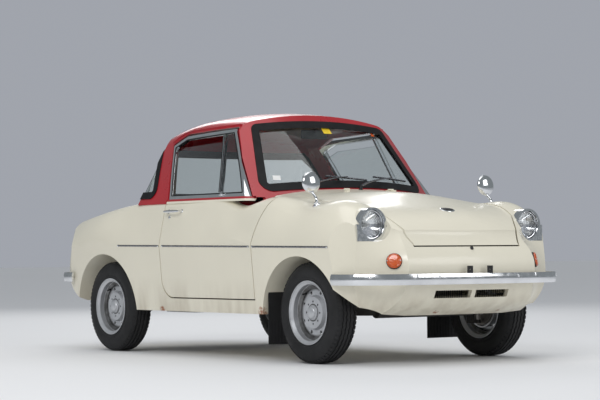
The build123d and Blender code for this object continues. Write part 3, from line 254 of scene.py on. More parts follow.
def weather_paint(made, colour, upper=None):
    """Road grime low down, rust specks, and a second colour above the belt."""
    tree = made.node_tree
    shader = tree.nodes["Principled BSDF"]
    tone = shader.inputs["Base Color"].links[0].from_socket
    if upper:
        above = ramp(tree, height_of(tree), BELT_Z - 0.0006, BELT_Z + 0.0006)
        tone = between(tree, above, tone, upper)
    low = ramp(tree, height_of(tree), 0.40, 0.20, 0.0, 0.62)
    streaks = ramp(tree, mottle(tree, 14.0, 6.0, (1.0, 1.0, 0.25)), 0.35, 0.75)
    grime = combine(tree, "MULTIPLY", low, streaks)
    tone = between(tree, grime, tone, (0.36, 0.29, 0.20, 1.0))
    for centre, radius in RUST_SPOTS:
        tone = between(tree, spot(tree, centre, radius), tone, (0.30, 0.10, 0.03, 1.0))
    tree.links.new(tone, shader.inputs["Base Color"])
    dull = shader.inputs["Roughness"].links[0].from_socket
    tree.links.new(combine(tree, "ADD", dull, combine(tree, "MULTIPLY", grime, 0.5)), shader.inputs["Roughness"])


def wheel_paint(name, colour, centre):
    """Silver paint with painted shade in the well and round the hub."""
    made = finish(name, colour, 0.36, 0.55, spread=0.08, patch=14.0, gloss_spread=0.14, grain=0.00005,
                  grain_scale=600.0)
    tree = made.node_tree
    shader = tree.nodes["Principled BSDF"]
    where = add(tree, "ShaderNodeTexCoord").outputs["Object"]
    where = add(tree, "ShaderNodeVectorMath", {0: where, 1: centre}, operation="SUBTRACT").outputs[0]
    where = add(tree, "ShaderNodeVectorMath", {0: where, 1: (1.0, 0.0, 1.0)}, operation="MULTIPLY").outputs[0]
    away = add(tree, "ShaderNodeVectorMath", {0: where}, operation="LENGTH").outputs["Value"]
    # painted shade: the deep well and a collar round the hub cap are darkened towards a near-black colour
    well_shade = combine(tree, "MULTIPLY", ramp(tree, away, 0.101, 0.111), ramp(tree, away, 0.134, 0.128))
    collar = combine(tree, "MULTIPLY", ramp(tree, away, 0.0350, 0.0365), ramp(tree, away, 0.0430, 0.0400))
    well_shade = combine(tree, "MAXIMUM", well_shade, collar)
    well_shade = combine(tree, "MULTIPLY", well_shade, ramp(tree, mottle(tree, 30.0, 5.0), 0.25, 0.6, 0.62, 0.92))
    tone = shader.inputs["Base Color"].links[0].from_socket
    tree.links.new(between(tree, well_shade, tone, WHEEL_SHADE), shader.inputs["Base Color"])
    return made


def clear_glass(name, tint, roughness=0.0, transmission=1.0, flute=0.0):
    made = bpy.data.materials.new(name)
    made.use_nodes = True
    tree = made.node_tree
    shader = tree.nodes["Principled BSDF"]
    shader.inputs["Base Color"].default_value = tint
    shader.inputs["Roughness"].default_value = roughness
    shader.inputs["Transmission Weight"].default_value = transmission
    shader.inputs["IOR"].default_value = 1.45
    if flute:
        sockets = {"Vector": place_of(tree), "Scale": flute, "Distortion": 0.0}
        bands = add(tree, "ShaderNodeTexWave", sockets, bands_direction="Y").outputs[1]
        tree.links.new(bumped(tree, bands, 0.0012), shader.inputs["Normal"])
    else:
        dust = ramp(tree, mottle(tree, 30.0, 6.0), 0.45, 0.8, roughness, roughness + 0.06)
        tree.links.new(dust, shader.inputs["Roughness"])
    FINISH[name] = made
    return made


# Meshes

def link(name, mesh, material=None):
    obj = bpy.data.objects.new(name, mesh)
    bpy.context.scene.collection.objects.link(obj)
    if material:
        mesh.materials.append(FINISH[material])
    return obj


def shaped(name, bm, material, smooth_below=SMOOTH_BELOW):
    """A closed, outward-facing object from a bmesh, smooth where it is round."""
    bmesh.ops.remove_doubles(bm, verts=bm.verts, dist=1e-6)
    bmesh.ops.dissolve_degenerate(bm, edges=bm.edges, dist=1e-7)
    bmesh.ops.recalc_face_normals(bm, faces=bm.faces)
    for face in bm.faces:
        face.smooth = True
    for edge in bm.edges:
        edge.smooth = len(edge.link_faces) != 2 or edge.calc_face_angle(0.0) < smooth_below
    mesh = bpy.data.meshes.new(name)
    bm.to_mesh(mesh)
    bm.free()
    return link(name, mesh, material)


def skin(bm, rings, loop=False, ring_closed=True, caps=True):
    """Quads between rings of equal count."""
    made = [[bm.verts.new(point) for point in ring] for ring in rings]
    pairs = list(zip(made, made[1:]))
    if loop:
        pairs.append((made[-1], made[0]))
    count = len(made[0])
    for first, second in pairs:
        for index in range(count if ring_closed else count - 1):
            following = (index + 1) % count
            bm.faces.new((first[index], first[following], second[following], second[index]))
    if caps and ring_closed and not loop:
        bm.faces.new(made[0])
        bm.faces.new(list(reversed(made[-1])))


def facing_frame(direction, up=(0.0, 0.0, 1.0)):
    """Rotation whose Z points along direction."""
    z = Vector(direction).normalized()
    guide = Vector(up)
    if abs(z.dot(guide)) > 0.99:
        guide = Vector((1.0, 0.0, 0.0))
    x = guide.cross(z).normalized()
    y = z.cross(x)
    return Matrix((x, y, z)).transposed()


def lathe(bm, profile, centre, axis, segments=48, loop_profile=False):
    """Turns (radius, along) points round an axis through centre."""
    turn = facing_frame(axis)
    rings = []
    for step in range(segments):
        angle = 2 * math.pi * step / segments
        side = Vector((math.cos(angle), math.sin(angle), 0.0))
        rings.append([Vector(centre) + turn @ (side * r + Vector((0, 0, a))) for r, a in profile])
    skin(bm, rings, loop=True, ring_closed=loop_profile)


def frames_along(points, up=None, loop=False):
    """Tangent, side and up at each point of a path."""
    count = len(points)
    found = []
    last_up = Vector(up) if up else None
    for index, point in enumerate(points):
        ahead = points[(index + 1) % count] if loop else points[min(index + 1, count - 1)]
        behind = points[index - 1] if loop or index else points[0]
        tangent = (Vector(ahead) - Vector(behind)).normalized()
        if last_up is None:
            last_up = facing_frame(tangent).col[1]
        side = tangent.cross(last_up).normalized()
        last_up = side.cross(tangent).normalized()
        found.append((tangent, side, last_up))
    return found


def tube(bm, points, radius, sides=12, loop=False):
    """Round bar along points. radius may be a list, one for each point."""
    radii = radius if isinstance(radius, (list, tuple)) else [radius] * len(points)
    rings = []
    for point, size, (tangent, side, up) in zip(points, radii, frames_along(points, loop=loop)):
        turns = [2 * math.pi * step / sides for step in range(sides)]
        rings.append([Vector(point) + (side * math.cos(t) + up * math.sin(t)) * size for t in turns])
    skin(bm, rings, loop=loop)


def strip(bm, points, outs, profile, loop=False):
    """Sweeps a (across, out) profile along points that lie on a surface."""
    rings = []
    for index, (point, out) in enumerate(zip(points, outs)):
        ahead = points[(index + 1) % len(points)] if loop else points[min(index + 1, len(points) - 1)]
        behind = points[index - 1] if loop or index else points[0]
        tangent = (Vector(ahead) - Vector(behind)).normalized()
        across = Vector(out).cross(tangent).normalized()
        rings.append([Vector(point) + across * a + Vector(out) * o for a, o in profile])
    skin(bm, rings, loop=loop)


def half_round(width, height, sunk=0.001, steps=8):
    """Profile of a domed strip, its foot a little below the surface."""
    arc = []
    for step in range(steps + 1):
        angle = math.pi * step / steps
        arc.append((width / 2 * math.cos(angle), height * math.sin(angle)))
    return [(width / 2, -sunk)] + arc + [(-width / 2, -sunk)]


def rounded_outline(width, height, corner, steps=6):
    """Points round a rectangle with round corners."""
    points = []
    for quarter, (a, b) in enumerate(((1, 1), (-1, 1), (-1, -1), (1, -1))):
        for step in range(steps + 1):
            angle = math.pi / 2 * (quarter + step / steps)
            points.append((
                a * (width / 2 - corner) + corner * math.cos(angle),
                b * (height / 2 - corner) + corner * math.sin(angle),
            ))
    return points


def inset_outline(points, distance):
    """A closed outline moved inwards by the same distance all round."""
    corners = [Vector(p) for p in points]
    middle = sum(corners, Vector((0, 0))) / len(corners)
    moved = []
    for index, corner in enumerate(corners):
        before_it = (corner - corners[index - 1]).normalized()
        after_it = (corners[(index + 1) % len(corners)] - corner).normalized()
        inwards = []
        for run in (before_it, after_it):
            normal = Vector((-run.y, run.x))
            inwards.append(normal if normal.dot(middle - corner) > 0 else -normal)
        shift = (inwards[0] + inwards[1]).normalized()
        moved.append(tuple(corner + shift * (distance / shift.dot(inwards[0]))))
    return moved


def rounded_block(bm, centre, size, radius, turn=None, steps=3):
    """A box with its edges rounded."""
    made = bmesh.ops.create_cube(bm, size=1.0)["verts"]
    place = Matrix.Translation(centre) @ (turn or Matrix()).to_4x4() @ Matrix.Diagonal((*size, 1.0))
    bmesh.ops.transform(bm, matrix=place, verts=made)
    edges = list({edge for vert in made for edge in vert.link_edges})
    bmesh.ops.bevel(bm, geom=edges, offset=radius, segments=steps, profile=0.5, affect="EDGES")


def smooth_path(points, steps):
    """Even points on the smooth line through a few points."""
    curve = [Vector(p) for p in points]
    padded = [curve[0] * 2 - curve[1]] + curve + [curve[-1] * 2 - curve[-2]]
    path = []
    for a, b, c, d in zip(padded, padded[1:], padded[2:], padded[3:]):
        for step in range(steps):
            t = step / steps
            path.append(0.5 * (2 * b + (c - a) * t + (2 * a - 5 * b + 4 * c - d) * t * t
                               + (3 * b - a - 3 * c + d) * t ** 3))
    path.append(curve[-1])
    return path


def surface(*names):
    """Ray target over some of the CAD nodes."""
    points = []
    faces = []
    for name in names:
        mesh = frame["nodes"][name].data
        start = len(points)
        points += [v.co.copy() for v in mesh.vertices]
        faces += [[start + index for index in face.vertices] for face in mesh.polygons]
    return BVHTree.FromPolygons(points, faces)


def cast(target, origin, direction):
    point, normal, index, distance = target.ray_cast(Vector(origin), Vector(direction))
    if point is None:
        raise RuntimeError(f"nothing of the car lies from {tuple(origin)} along {tuple(direction)}")
    return point, normal


def beside(target, x, z, side):
    return cast(target, (x, side * 1.2, z), (0, -side, 0))


def before(target, y, z, end=1):
    return cast(target, (end * 2.5, y, z), (-end, 0, 0))


def over(target, x, y):
    return cast(target, (x, y, 2.0), (0, 0, -1))


def joined(name, objects):
    """Several objects as one mesh."""
    with bpy.context.temp_override(active_object=objects[0], selected_editable_objects=objects):
        bpy.ops.object.join()
    objects[0].name = name
    return objects[0]


# Geometry Nodes

def new_tree(name, inputs):
    tree = bpy.data.node_groups.new(name, "GeometryNodeTree")
    tree.interface.new_socket("Geometry", in_out="INPUT", socket_type="NodeSocketGeometry")
    for label, kind, default in inputs:
        socket = tree.interface.new_socket(label, in_out="INPUT", socket_type="NodeSocket" + kind)
        if default is not None:
            socket.default_value = default
    tree.interface.new_socket("Geometry", in_out="OUTPUT", socket_type="NodeSocketGeometry")
    return tree, add(tree, "NodeGroupInput").outputs


def attribute_of(tree, name):
    return add(tree, "GeometryNodeInputNamedAttribute", {"Name": name}, data_type="FLOAT_VECTOR").outputs[0]


def turn_of(tree):
    """Rotation that sets Z to the facing attribute and X to the along attribute."""
    sockets = {"Vector": attribute_of(tree, "facing")}
    stood = add(tree, "FunctionNodeAlignRotationToVector", sockets, axis="Z").outputs[0]
    sockets = {"Rotation": stood, "Vector": attribute_of(tree, "along")}
    return add(tree, "FunctionNodeAlignRotationToVector", sockets, axis="X", pivot_axis="Z").outputs[0]


def close_tree(tree, points, shape, material, smooth=False):
    """The shape on every point, realized, with its material."""
    sockets = {"Points": points, "Instance": shape, "Rotation": turn_of(tree)}
    made = add(tree, "GeometryNodeInstanceOnPoints", sockets).outputs[0]
    made = add(tree, "GeometryNodeRealizeInstances", {"Geometry": made}).outputs[0]
    if smooth:
        made = add(tree, "GeometryNodeSetShadeSmooth", {"Geometry": made}).outputs[0]
    made = add(tree, "GeometryNodeSetMaterial", {"Geometry": made, "Material": material}).outputs[0]
    add(tree, "NodeGroupOutput", {"Geometry": made})
    return tree


def block_tree():
    """Blocks: treads, slats, stitches and ribs."""
    inputs = [("Size", "Vector", None), ("Material", "Material", None)]
    tree, given = new_tree("blocks", inputs)
    cube = add(tree, "GeometryNodeMeshCube", {"Size": given["Size"]}).outputs[0]
    return close_tree(tree, given["Geometry"], cube, given["Material"])


def screw_tree():
    """Domed round heads."""
    inputs = [("Radius", "Float", 0.004), ("Height", "Float", 0.002), ("Material", "Material", None)]
    tree, given = new_tree("screws", inputs)
    ball = add(tree, "GeometryNodeMeshUVSphere", {"Segments": 16, "Rings": 8, "Radius": 1.0}).outputs[0]
    size = add(tree, "ShaderNodeCombineXYZ", {0: given["Radius"], 1: given["Radius"], 2: given["Height"]}).outputs[0]
    head = add(tree, "GeometryNodeTransform", {"Geometry": ball, "Scale": size}).outputs[0]
    return close_tree(tree, given["Geometry"], head, given["Material"], smooth=True)


def nut_tree():
    """Prisms with a given number of sides."""
    inputs = [("Radius", "Float", 0.005), ("Height", "Float", 0.004), ("Sides", "Int", 6), ("Material", "Material", None)]
    tree, given = new_tree("nuts", inputs)
    sockets = {"Vertices": given["Sides"], "Radius": given["Radius"], "Depth": given["Height"]}
    prism = add(tree, "GeometryNodeMeshCylinder", sockets).outputs[0]
    return close_tree(tree, given["Geometry"], prism, given["Material"])


TREES = {}


def grown(name, tree, material, points, facing, along=None, **values):
    """Carries points through a tree and returns a plain mesh object."""
    points = [Vector(p) for p in points]
    along = along or [facing_frame(direction).col[0] for direction in facing]
    mesh = bpy.data.meshes.new(name)
    mesh.from_pydata(points, [], [])
    for label, vectors in (("facing", facing), ("along", along)):
        attribute = mesh.attributes.new(label, "FLOAT_VECTOR", "POINT")
        attribute.data.foreach_set("vector", [part for vector in vectors for part in vector])
    seed = link(name + "_seed", mesh)
    modifier = seed.modifiers.new("shape", "NODES")
    modifier.node_group = TREES[tree]
    values["Material"] = FINISH[material]
    for item in TREES[tree].interface.items_tree:
        if item.in_out == "INPUT" and item.name in values:
            modifier[item.identifier] = values[item.name]
    depsgraph = bpy.context.evaluated_depsgraph_get()
    plain = bpy.data.meshes.new_from_object(seed.evaluated_get(depsgraph))
    bpy.data.objects.remove(seed)
    made = link(name, plain)
    plain.name = name
    return made


def settle(obj, body, slot, *replaced):
    """Rides on a body and hides the CAD nodes that it stands for. The slot argument is not used."""
    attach(obj, body)
    if replaced:
        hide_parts(*replaced)
    return obj


# Sizes and colours

def colour_property(label, words, default):
    return bpy.props.FloatVectorProperty(
        name=label, description=words, default=default, size=3, subtype="COLOR", min=0.0, max=1.0
    )


def length_property(label, words, default):
    return bpy.props.FloatProperty(
        name=label, description=words, default=default, min=0.0, unit="LENGTH", subtype="DISTANCE", precision=4
    )


class CoupeColours(bpy.types.PropertyGroup):
    cream: colour_property("Cream", "Paint below the belt", (0.79, 0.745, 0.61))
    crimson: colour_property("Crimson", "Paint of roof and pillars", (0.40, 0.008, 0.016))
    silver: colour_property("Wheel silver", "Paint of the pressed wheels", (0.56, 0.57, 0.59))
    chrome: colour_property("Chrome", "Bright metal", (0.80, 0.81, 0.83))
    rubber: colour_property("Rubber", "Seals and tyres", (0.013, 0.013, 0.014))
    seats: colour_property("Seat cover", "Vinyl of the seats", (0.16, 0.085, 0.05))
    amber: colour_property("Amber", "Front indicator lenses", (0.85, 0.13, 0.015))
    red: colour_property("Red", "Tail lamp lenses", (0.50, 0.008, 0.012))


class CoupeSizes(bpy.types.PropertyGroup):
    trim_height: length_property("Trim height", "Height of the side strips", 0.009)
    trim_proud: length_property("Trim depth", "How far the side strips stand out", 0.0028)
    groove_depth: length_property("Groove depth", "Depth of the tread grooves", 0.0062)
    groove_swing: length_property("Groove swing", "Sideways swing of the zigzag grooves", 0.0022)
    groove_teeth: bpy.props.IntProperty(
        name="Groove teeth", description="Zigzags round one tyre", default=48, min=8, max=96
    )
    shoulder_blocks: bpy.props.IntProperty(
        name="Shoulder blocks", description="Blocks round each tread shoulder", default=64, min=8, max=120
    )
    lid_slats: bpy.props.IntProperty(
        name="Louvres", description="Louvres on each half of the engine lid", default=7, min=1, max=12
    )
    pad_swell: length_property("Pad swell", "How far the seat pads may puff out", 0.014)


# Finishes

CAD_FINISHES = {
    "front_body": "cream", "rear_body": "cream", "bonnet": "cream", "engine_lid": "cream",
    "floor_pan": "cream", "bulkheads": "grey_paint", "roof": "crimson",
    "door_left": "two_tone", "door_right": "two_tone",
    "door_frame_left": "chrome", "door_frame_right": "chrome",
    "door_glass_left": "window_glass", "door_glass_right": "window_glass",
    "windscreen": "window_glass", "rear_screen": "window_glass",
    "windscreen_rubber": "rubber", "rear_screen_rubber": "rubber",
    "headlamp_bezels": "chrome", "front_bumper": "worn_chrome", "rear_bumper": "worn_chrome",
    "plate_brackets": "black_paint", "mud_flaps": "flap_rubber",
    "dashboard": "dash_paint", "engine": "cast_alloy",
    "front_suspension": "chassis_black", "rear_suspension": "chassis_black",
    "knuckle_left": "bare_steel", "knuckle_right": "bare_steel",
}


class COUPE_OT_finishes(bpy.types.Operator):
    """Make every finish and give each CAD piece its own"""
    bl_idname = "coupe.finishes"
    bl_label = "Finishes"

    def execute(self, context):
        colours = context.scene.coupe_colours
        paint = {"coat_weight": 0.5, "coat_roughness": 0.14, "grain": 0.00003, "grain_scale": 420.0}
        cream = finish("cream", colours.cream, 0.34, spread=0.03, patch=2.5, **paint)
        weather_paint(cream, colours.cream)
        two_tone = finish("two_tone", colours.cream, 0.34, spread=0.03, patch=2.5, **paint)
        weather_paint(two_tone, colours.cream, shade(colours.crimson, 1.0))
        finish("crimson", colours.crimson, 0.30, spread=0.10, patch=3.0, **paint)
        finish("silver", colours.silver, 0.36, 0.55, spread=0.08, patch=14.0, gloss_spread=0.14,
               grain=0.00005, grain_scale=600.0)
        finish("chrome", colours.chrome, 0.08, 1.0, spread=0.04, patch=20.0, gloss_spread=0.10)
        finish("worn_chrome", colours.chrome, 0.12, 1.0, spread=0.12, patch=7.0, gloss_spread=0.12,
               grain=0.000004, grain_scale=90.0)
        # painted reflection: the steel's colour is darkened to stand for a dark reflection of its surroundings
        finish("steel_painted_dark_reflection", (0.26, 0.26, 0.28), 0.22, 1.0, spread=0.10, patch=12.0, gloss_spread=0.12)
        finish("rubber", colours.rubber, 0.55, spread=0.25, patch=18.0, grain=0.00012, grain_scale=700.0,
               specular_ior_level=0.2)
        finish("flap_rubber", colours.rubber, 0.75, spread=0.35, patch=12.0, grain=0.0003, grain_scale=260.0)
        finish("tyre", colours.rubber, 0.72, spread=0.30, patch=10.0, grain=0.00016, grain_scale=520.0)
        finish("black_paint", (0.012, 0.012, 0.013), 0.38, spread=0.3, patch=30.0, grain=0.00008)
        finish("chassis_black", (0.022, 0.020, 0.018), 0.66, spread=0.45, patch=12.0, grain=0.0003,
               grain_scale=240.0)
        finish("grey_paint", (0.20, 0.19, 0.17), 0.6, spread=0.2, patch=8.0, grain=0.0001)
        finish("bare_steel", (0.32, 0.30, 0.28), 0.48, 0.9, spread=0.3, patch=30.0, grain=0.00015)
        finish("dark_steel", (0.05, 0.05, 0.055), 0.42, 0.7, spread=0.3, patch=40.0)
        finish("cast_alloy", (0.30, 0.30, 0.31), 0.62, 0.8, spread=0.2, patch=25.0, grain=0.0005,
               grain_scale=300.0)
        finish("dash_paint", (0.55, 0.50, 0.38), 0.4, spread=0.05, patch=5.0, grain=0.0001)
        finish("dial_face", (0.015, 0.015, 0.017), 0.5, spread=0.2, patch=40.0)
        finish("dial_marks", (0.75, 0.74, 0.68), 0.5, spread=0.05, patch=80.0)
        finish("grip", (0.62, 0.58, 0.46), 0.32, spread=0.06, patch=20.0, coat_weight=0.3)
        finish("headlining", (0.30, 0.19, 0.11), 0.9, spread=0.12, patch=20.0, grain=0.0004,
               grain_scale=900.0, sheen_weight=0.3)
        finish("seat_vinyl", colours.seats, 0.42, spread=0.14, patch=14.0, grain=0.00035, grain_scale=620.0)
        finish("card_vinyl", (0.20, 0.105, 0.06), 0.5, spread=0.12, patch=10.0, grain=0.0003, grain_scale=700.0)
        finish("seat_piping", (0.55, 0.50, 0.40), 0.45, spread=0.08, patch=60.0)
        finish("thread", (0.60, 0.55, 0.45), 0.8, spread=0.1, patch=200.0)
        finish("carpet", (0.05, 0.045, 0.04), 0.95, spread=0.35, patch=120.0, grain=0.0015,
               grain_scale=1500.0, sheen_weight=0.4)
        finish("bulb", (0.85, 0.85, 0.82), 0.25, spread=0.03)
        finish("reflector", (0.86, 0.87, 0.88), 0.05, 1.0, spread=0.04, patch=30.0, gloss_spread=0.03)
        finish("mirror", (0.90, 0.91, 0.92), 0.01, 1.0, spread=0.01, gloss_spread=0.01)
        finish("amber_lens", colours.amber, 0.12, spread=0.12, patch=40.0, coat_weight=1.0,
               transmission_weight=0.35, grain=0.0005, grain_scale=190.0)
        finish("red_lens", colours.red, 0.12, spread=0.12, patch=40.0, coat_weight=1.0,
               transmission_weight=0.3, grain=0.0005, grain_scale=190.0)
        finish("yellow_label", (0.80, 0.55, 0.02), 0.5, spread=0.06, patch=60.0)
        finish("orange_label", (0.72, 0.12, 0.02), 0.5, spread=0.06, patch=60.0)
        finish("white_label", (0.75, 0.75, 0.73), 0.5, spread=0.04, patch=60.0)
        clear_glass("window_glass", (0.93, 0.97, 0.95, 1.0))
        clear_glass("lamp_glass", (0.97, 0.98, 0.98, 1.0), 0.01, flute=34.0)
        for name, material in CAD_FINISHES.items():
            node = frame["nodes"][name]
            node.data.materials.clear()
            node.data.materials.append(FINISH[material])
        for corner in CORNERS:
            node = frame["nodes"]["wheel_" + corner]
            low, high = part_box("wheel_" + corner)
            node.data.materials.clear()
            node.data.materials.append(wheel_paint("silver_" + corner, colours.silver, (low + high) / 2))
        TREES["blocks"] = block_tree()
        TREES["screws"] = screw_tree()
        TREES["nuts"] = nut_tree()
        return {"FINISHED"}


# Tyres and wheels

TYRE_SIDE = (
    (0.1375, 0.0480), (0.1440, 0.0520), (0.1520, 0.0570), (0.1580, 0.0604), (0.1630, 0.0606),
    (0.1655, 0.0592), (0.1700, 0.0606), (0.1850, 0.0638), (0.1960, 0.0636), (0.2070, 0.0612),
    (0.2150, 0.0580), (0.2210, 0.0545), (0.2265, 0.0500), (0.2305, 0.0455), (0.2335, 0.0400),
)
TREAD_RADIUS = 0.2375
GROOVES_Y = (0.031, 0.0105)
GROOVE_HALF = 0.0026
GROOVE_WALL = 0.0007


def tyre_section(sizes, swing):
    """Half section from the bead to the middle of the tread."""
    points = list(TYRE_SIDE)
    for y in GROOVES_Y:
        middle = y + swing
        points += [
            (TREAD_RADIUS - 0.0008, middle + GROOVE_HALF + GROOVE_WALL),
            (TREAD_RADIUS - sizes.groove_depth, middle + GROOVE_HALF),
            (TREAD_RADIUS - sizes.groove_depth, middle - GROOVE_HALF),
            (TREAD_RADIUS, middle - GROOVE_HALF - GROOVE_WALL),
        ]
    return points


class COUPE_OT_tyres(bpy.types.Operator):
    """Crossply tyres with zigzag grooves and shoulder blocks"""
    bl_idname = "coupe.tyres"
    bl_label = "Tyres"

    def execute(self, context):
        sizes = context.scene.coupe_sizes
        for corner in CORNERS:
            low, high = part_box("tyre_" + corner)
            centre = (low + high) / 2
            bm = bmesh.new()
            rings = []
            segments = sizes.groove_teeth * 6
            for step in range(segments):
                angle = 2 * math.pi * step / segments
                phase = (step % 6) / 6
                swing = sizes.groove_swing * (abs(phase * 4 - 2) - 1)
                side = Vector((math.cos(angle), 0, math.sin(angle)))
                left = tyre_section(sizes, swing)
                right = [(r, -y) for r, y in reversed(tyre_section(sizes, -swing))]
                rings.append([centre + side * r + Vector((0, y, 0)) for r, y in left + right])
            skin(bm, rings, loop=True)
            tyre = shaped("tyre_tread_" + corner, bm, "tyre")
            settle(tyre, "wheel_" + corner, "tyre_rubber", "tyre_" + corner)
            points = []
            facing = []
            along = []
            for step in range(sizes.shoulder_blocks):
                angle = 2 * math.pi * step / sizes.shoulder_blocks
                out = Vector((math.cos(angle), 0, math.sin(angle)))
                for side in (1, -1):
                    points.append(centre + out * 0.2300 + Vector((0, side * 0.0462, 0)))
                    facing.append((out + Vector((0, side * 0.75, 0))).normalized())
                    along.append(out.cross(Vector((0, 1, 0))))
            blocks = grown("tyre_blocks_" + corner, "blocks", "tyre", points, facing, along,
                           Size=(0.0155, 0.015, 0.0046))
            settle(blocks, "wheel_" + corner, "tyre_rubber")
        return {"FINISHED"}


class COUPE_OT_wheels(bpy.types.Operator):
    """Studs, hub cap, rim beads and valve of each wheel"""
    bl_idname = "coupe.wheels"
    bl_label = "Wheels"

    def execute(self, context):
        for corner in CORNERS:
            side = 1 if corner.endswith("left") else -1
            low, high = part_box("tyre_" + corner)
            centre = (low + high) / 2
            axis = Vector((0, side, 0))
            bm = bmesh.new()
            cap = [(0.0345, 0.0285), (0.0345, 0.0345), (0.0325, 0.0362), (0.0300, 0.0368), (0.0290, 0.0400)]
            for step in range(9):
                angle = math.pi / 2 * step / 8
                cap.append((0.0285 * math.cos(angle), 0.0405 + 0.0105 * math.sin(angle)))
            cap[-1] = (0.0, cap[-1][1])
            lathe(bm, [(0.0, 0.0285)] + cap, centre, axis, 40)
            hub = shaped("hub_cap_" + corner, bm, "silver")
            settle(hub, "wheel_" + corner, "silver_paint")
            bm = bmesh.new()
            for place in (1, -1):
                ring = [(0.1475 + 0.0028 * math.cos(t * math.pi / 4), place * 0.0600 + 0.0028 * math.sin(t * math.pi / 4))
                        for t in range(8)]
                lathe(bm, ring, centre, (0, 1, 0), 96, loop_profile=True)
            bead = shaped("rim_edge_" + corner, bm, "silver")
            settle(bead, "wheel_" + corner, "silver_paint")
            bm = bmesh.new()
            angle = math.radians(52)
            out = Vector((math.cos(angle) * side, 0, math.sin(angle)))
            foot = centre + out * 0.112 + axis * 0.018
            tip = centre + out * 0.106 + axis * 0.042
            path = [foot.lerp(tip, share) for share in (0.0, 0.25, 0.6, 0.61, 1.0)]
            tube(bm, path, [0.0052, 0.0042, 0.0034, 0.0041, 0.0038], 12)
            valve = shaped("valve_" + corner, bm, "rubber")
            settle(valve, "wheel_" + corner, "seal_rubber")
            points = []
            for step in range(8):
                angle = math.pi / 4 * step
                out = Vector((math.cos(angle), 0, math.sin(angle)))
                points.append(centre + out * 0.052 + axis * 0.0262)
            studs = grown("wheel_studs_" + corner, "nuts", "dark_steel", points, [axis] * 8,
                          Radius=0.0052, Height=0.004, Sides=6)
            settle(studs, "wheel_" + corner, "steel")
        return {"FINISHED"}


# Lamps

def dome(radius, height, foot, steps=10):
    """Profile of a domed disc, from its foot to its middle."""
    points = [(0.0, -foot), (radius, -foot), (radius, 0.0)]
    for step in range(1, steps + 1):
        angle = math.pi / 2 * step / steps
        points.append((radius * math.cos(angle), height * math.sin(angle)))
    points[-1] = (0.0, height)
    return points


class COUPE_OT_headlamps(bpy.types.Operator):
    """Fluted glass, bowl, bulb and rim of both headlamps"""
    bl_idname = "coupe.headlamps"
    bl_label = "Headlamps"

    def execute(self, context):
        x, lamp_y, z = HEADLAMP
        for label, side in SIDES:
            centre = Vector((x, side * lamp_y, z))
            bm = bmesh.new()
            glass = []
            for step in range(13):
                share = step / 12
                glass.append((0.0625 * share, 0.011 * (1 - share * share) - 0.004))
            inner = [(r, a - 0.0028) for r, a in reversed(glass)]
            lathe(bm, glass + inner, centre, (1, 0, 0), 64)
            lens = shaped(f"headlamp_glass_{label}", bm, "lamp_glass")
            settle(lens, "root", "lamp_glass", "headlamp_lenses")
            bm = bmesh.new()
            bowl = []
            for step in range(13):
                radius = 0.0615 - 0.0495 * step / 12
                bowl.append((radius, -0.052 + 0.044 * (radius / 0.0615) ** 2))
            behind = [(r + 0.0015, a - 0.0015) for r, a in reversed(bowl)]
            lathe(bm, bowl + behind, centre, (1, 0, 0), 64, loop_profile=True)
            reflector = shaped(f"headlamp_bowl_{label}", bm, "reflector")
            settle(reflector, "root", "chrome")
            bm = bmesh.new()
            ring = [(0.0600, -0.010), (0.0655, -0.010), (0.0655, 0.000), (0.0640, 0.0035), (0.0615, 0.0030),
                    (0.0605, -0.0020)]
            lathe(bm, ring, centre, (1, 0, 0), 72, loop_profile=True)
            rim = shaped(f"headlamp_rim_{label}", bm, "chrome")
            settle(rim, "root", "chrome")
            bm = bmesh.new()
            shape = [(0.0, -0.050), (0.011, -0.050), (0.011, -0.040), (0.0075, -0.036), (0.0095, -0.028),
                     (0.0070, -0.021), (0.0, -0.0185)]
            lathe(bm, shape, centre, (1, 0, 0), 24)
            bulb = shaped(f"headlamp_bulb_{label}", bm, "bulb")
            settle(bulb, "root", "lamp_glass")
        return {"FINISHED"}


class COUPE_OT_indicators(bpy.types.Operator):
    """Amber front indicators with their bases and screws"""
    bl_idname = "coupe.indicators"
    bl_label = "Front indicators"

    def execute(self, context):
        nose = surface("front_body")
        screws = []
        facing = []
        for label, side in SIDES:
            y, z = INDICATOR
            point, normal = before(nose, side * y, z)
            bm = bmesh.new()
            lathe(bm, [(0.0, -0.003), (0.0345, -0.003), (0.0345, 0.004), (0.0335, 0.010), (0.0290, 0.0135),
                       (0.0270, 0.0130), (0.0250, 0.0150), (0.0, 0.0165)], point, normal, 48)
            lens = shaped(f"indicator_lens_{label}", bm, "amber_lens")
            settle(lens, "root", "amber_lens", "front_indicators")
            bm = bmesh.new()
            lathe(bm, [(0.0340, -0.004), (0.0365, -0.004), (0.0365, 0.003), (0.0352, 0.005), (0.0340, 0.004)],
                  point, normal, 48, loop_profile=True)
            gasket = shaped(f"indicator_gasket_{label}", bm, "rubber")
            settle(gasket, "root", "seal_rubber")
            across = normal.cross(Vector((0, 0, 1))).normalized()
            for place in (1, -1):
                screws.append(point + normal * 0.0122 + across * place * 0.0295)
                facing.append(normal)
        heads = grown("indicator_screws", "screws", "chrome", screws, facing, Radius=0.0032, Height=0.0022)
        settle(heads, "root", "chrome")
        return {"FINISHED"}


TAIL_LENS = ((0.000, 0.050), (0.000, 0.010), (0.0015, 0.0050), (0.0050, 0.0018), (0.0110, 0.0))


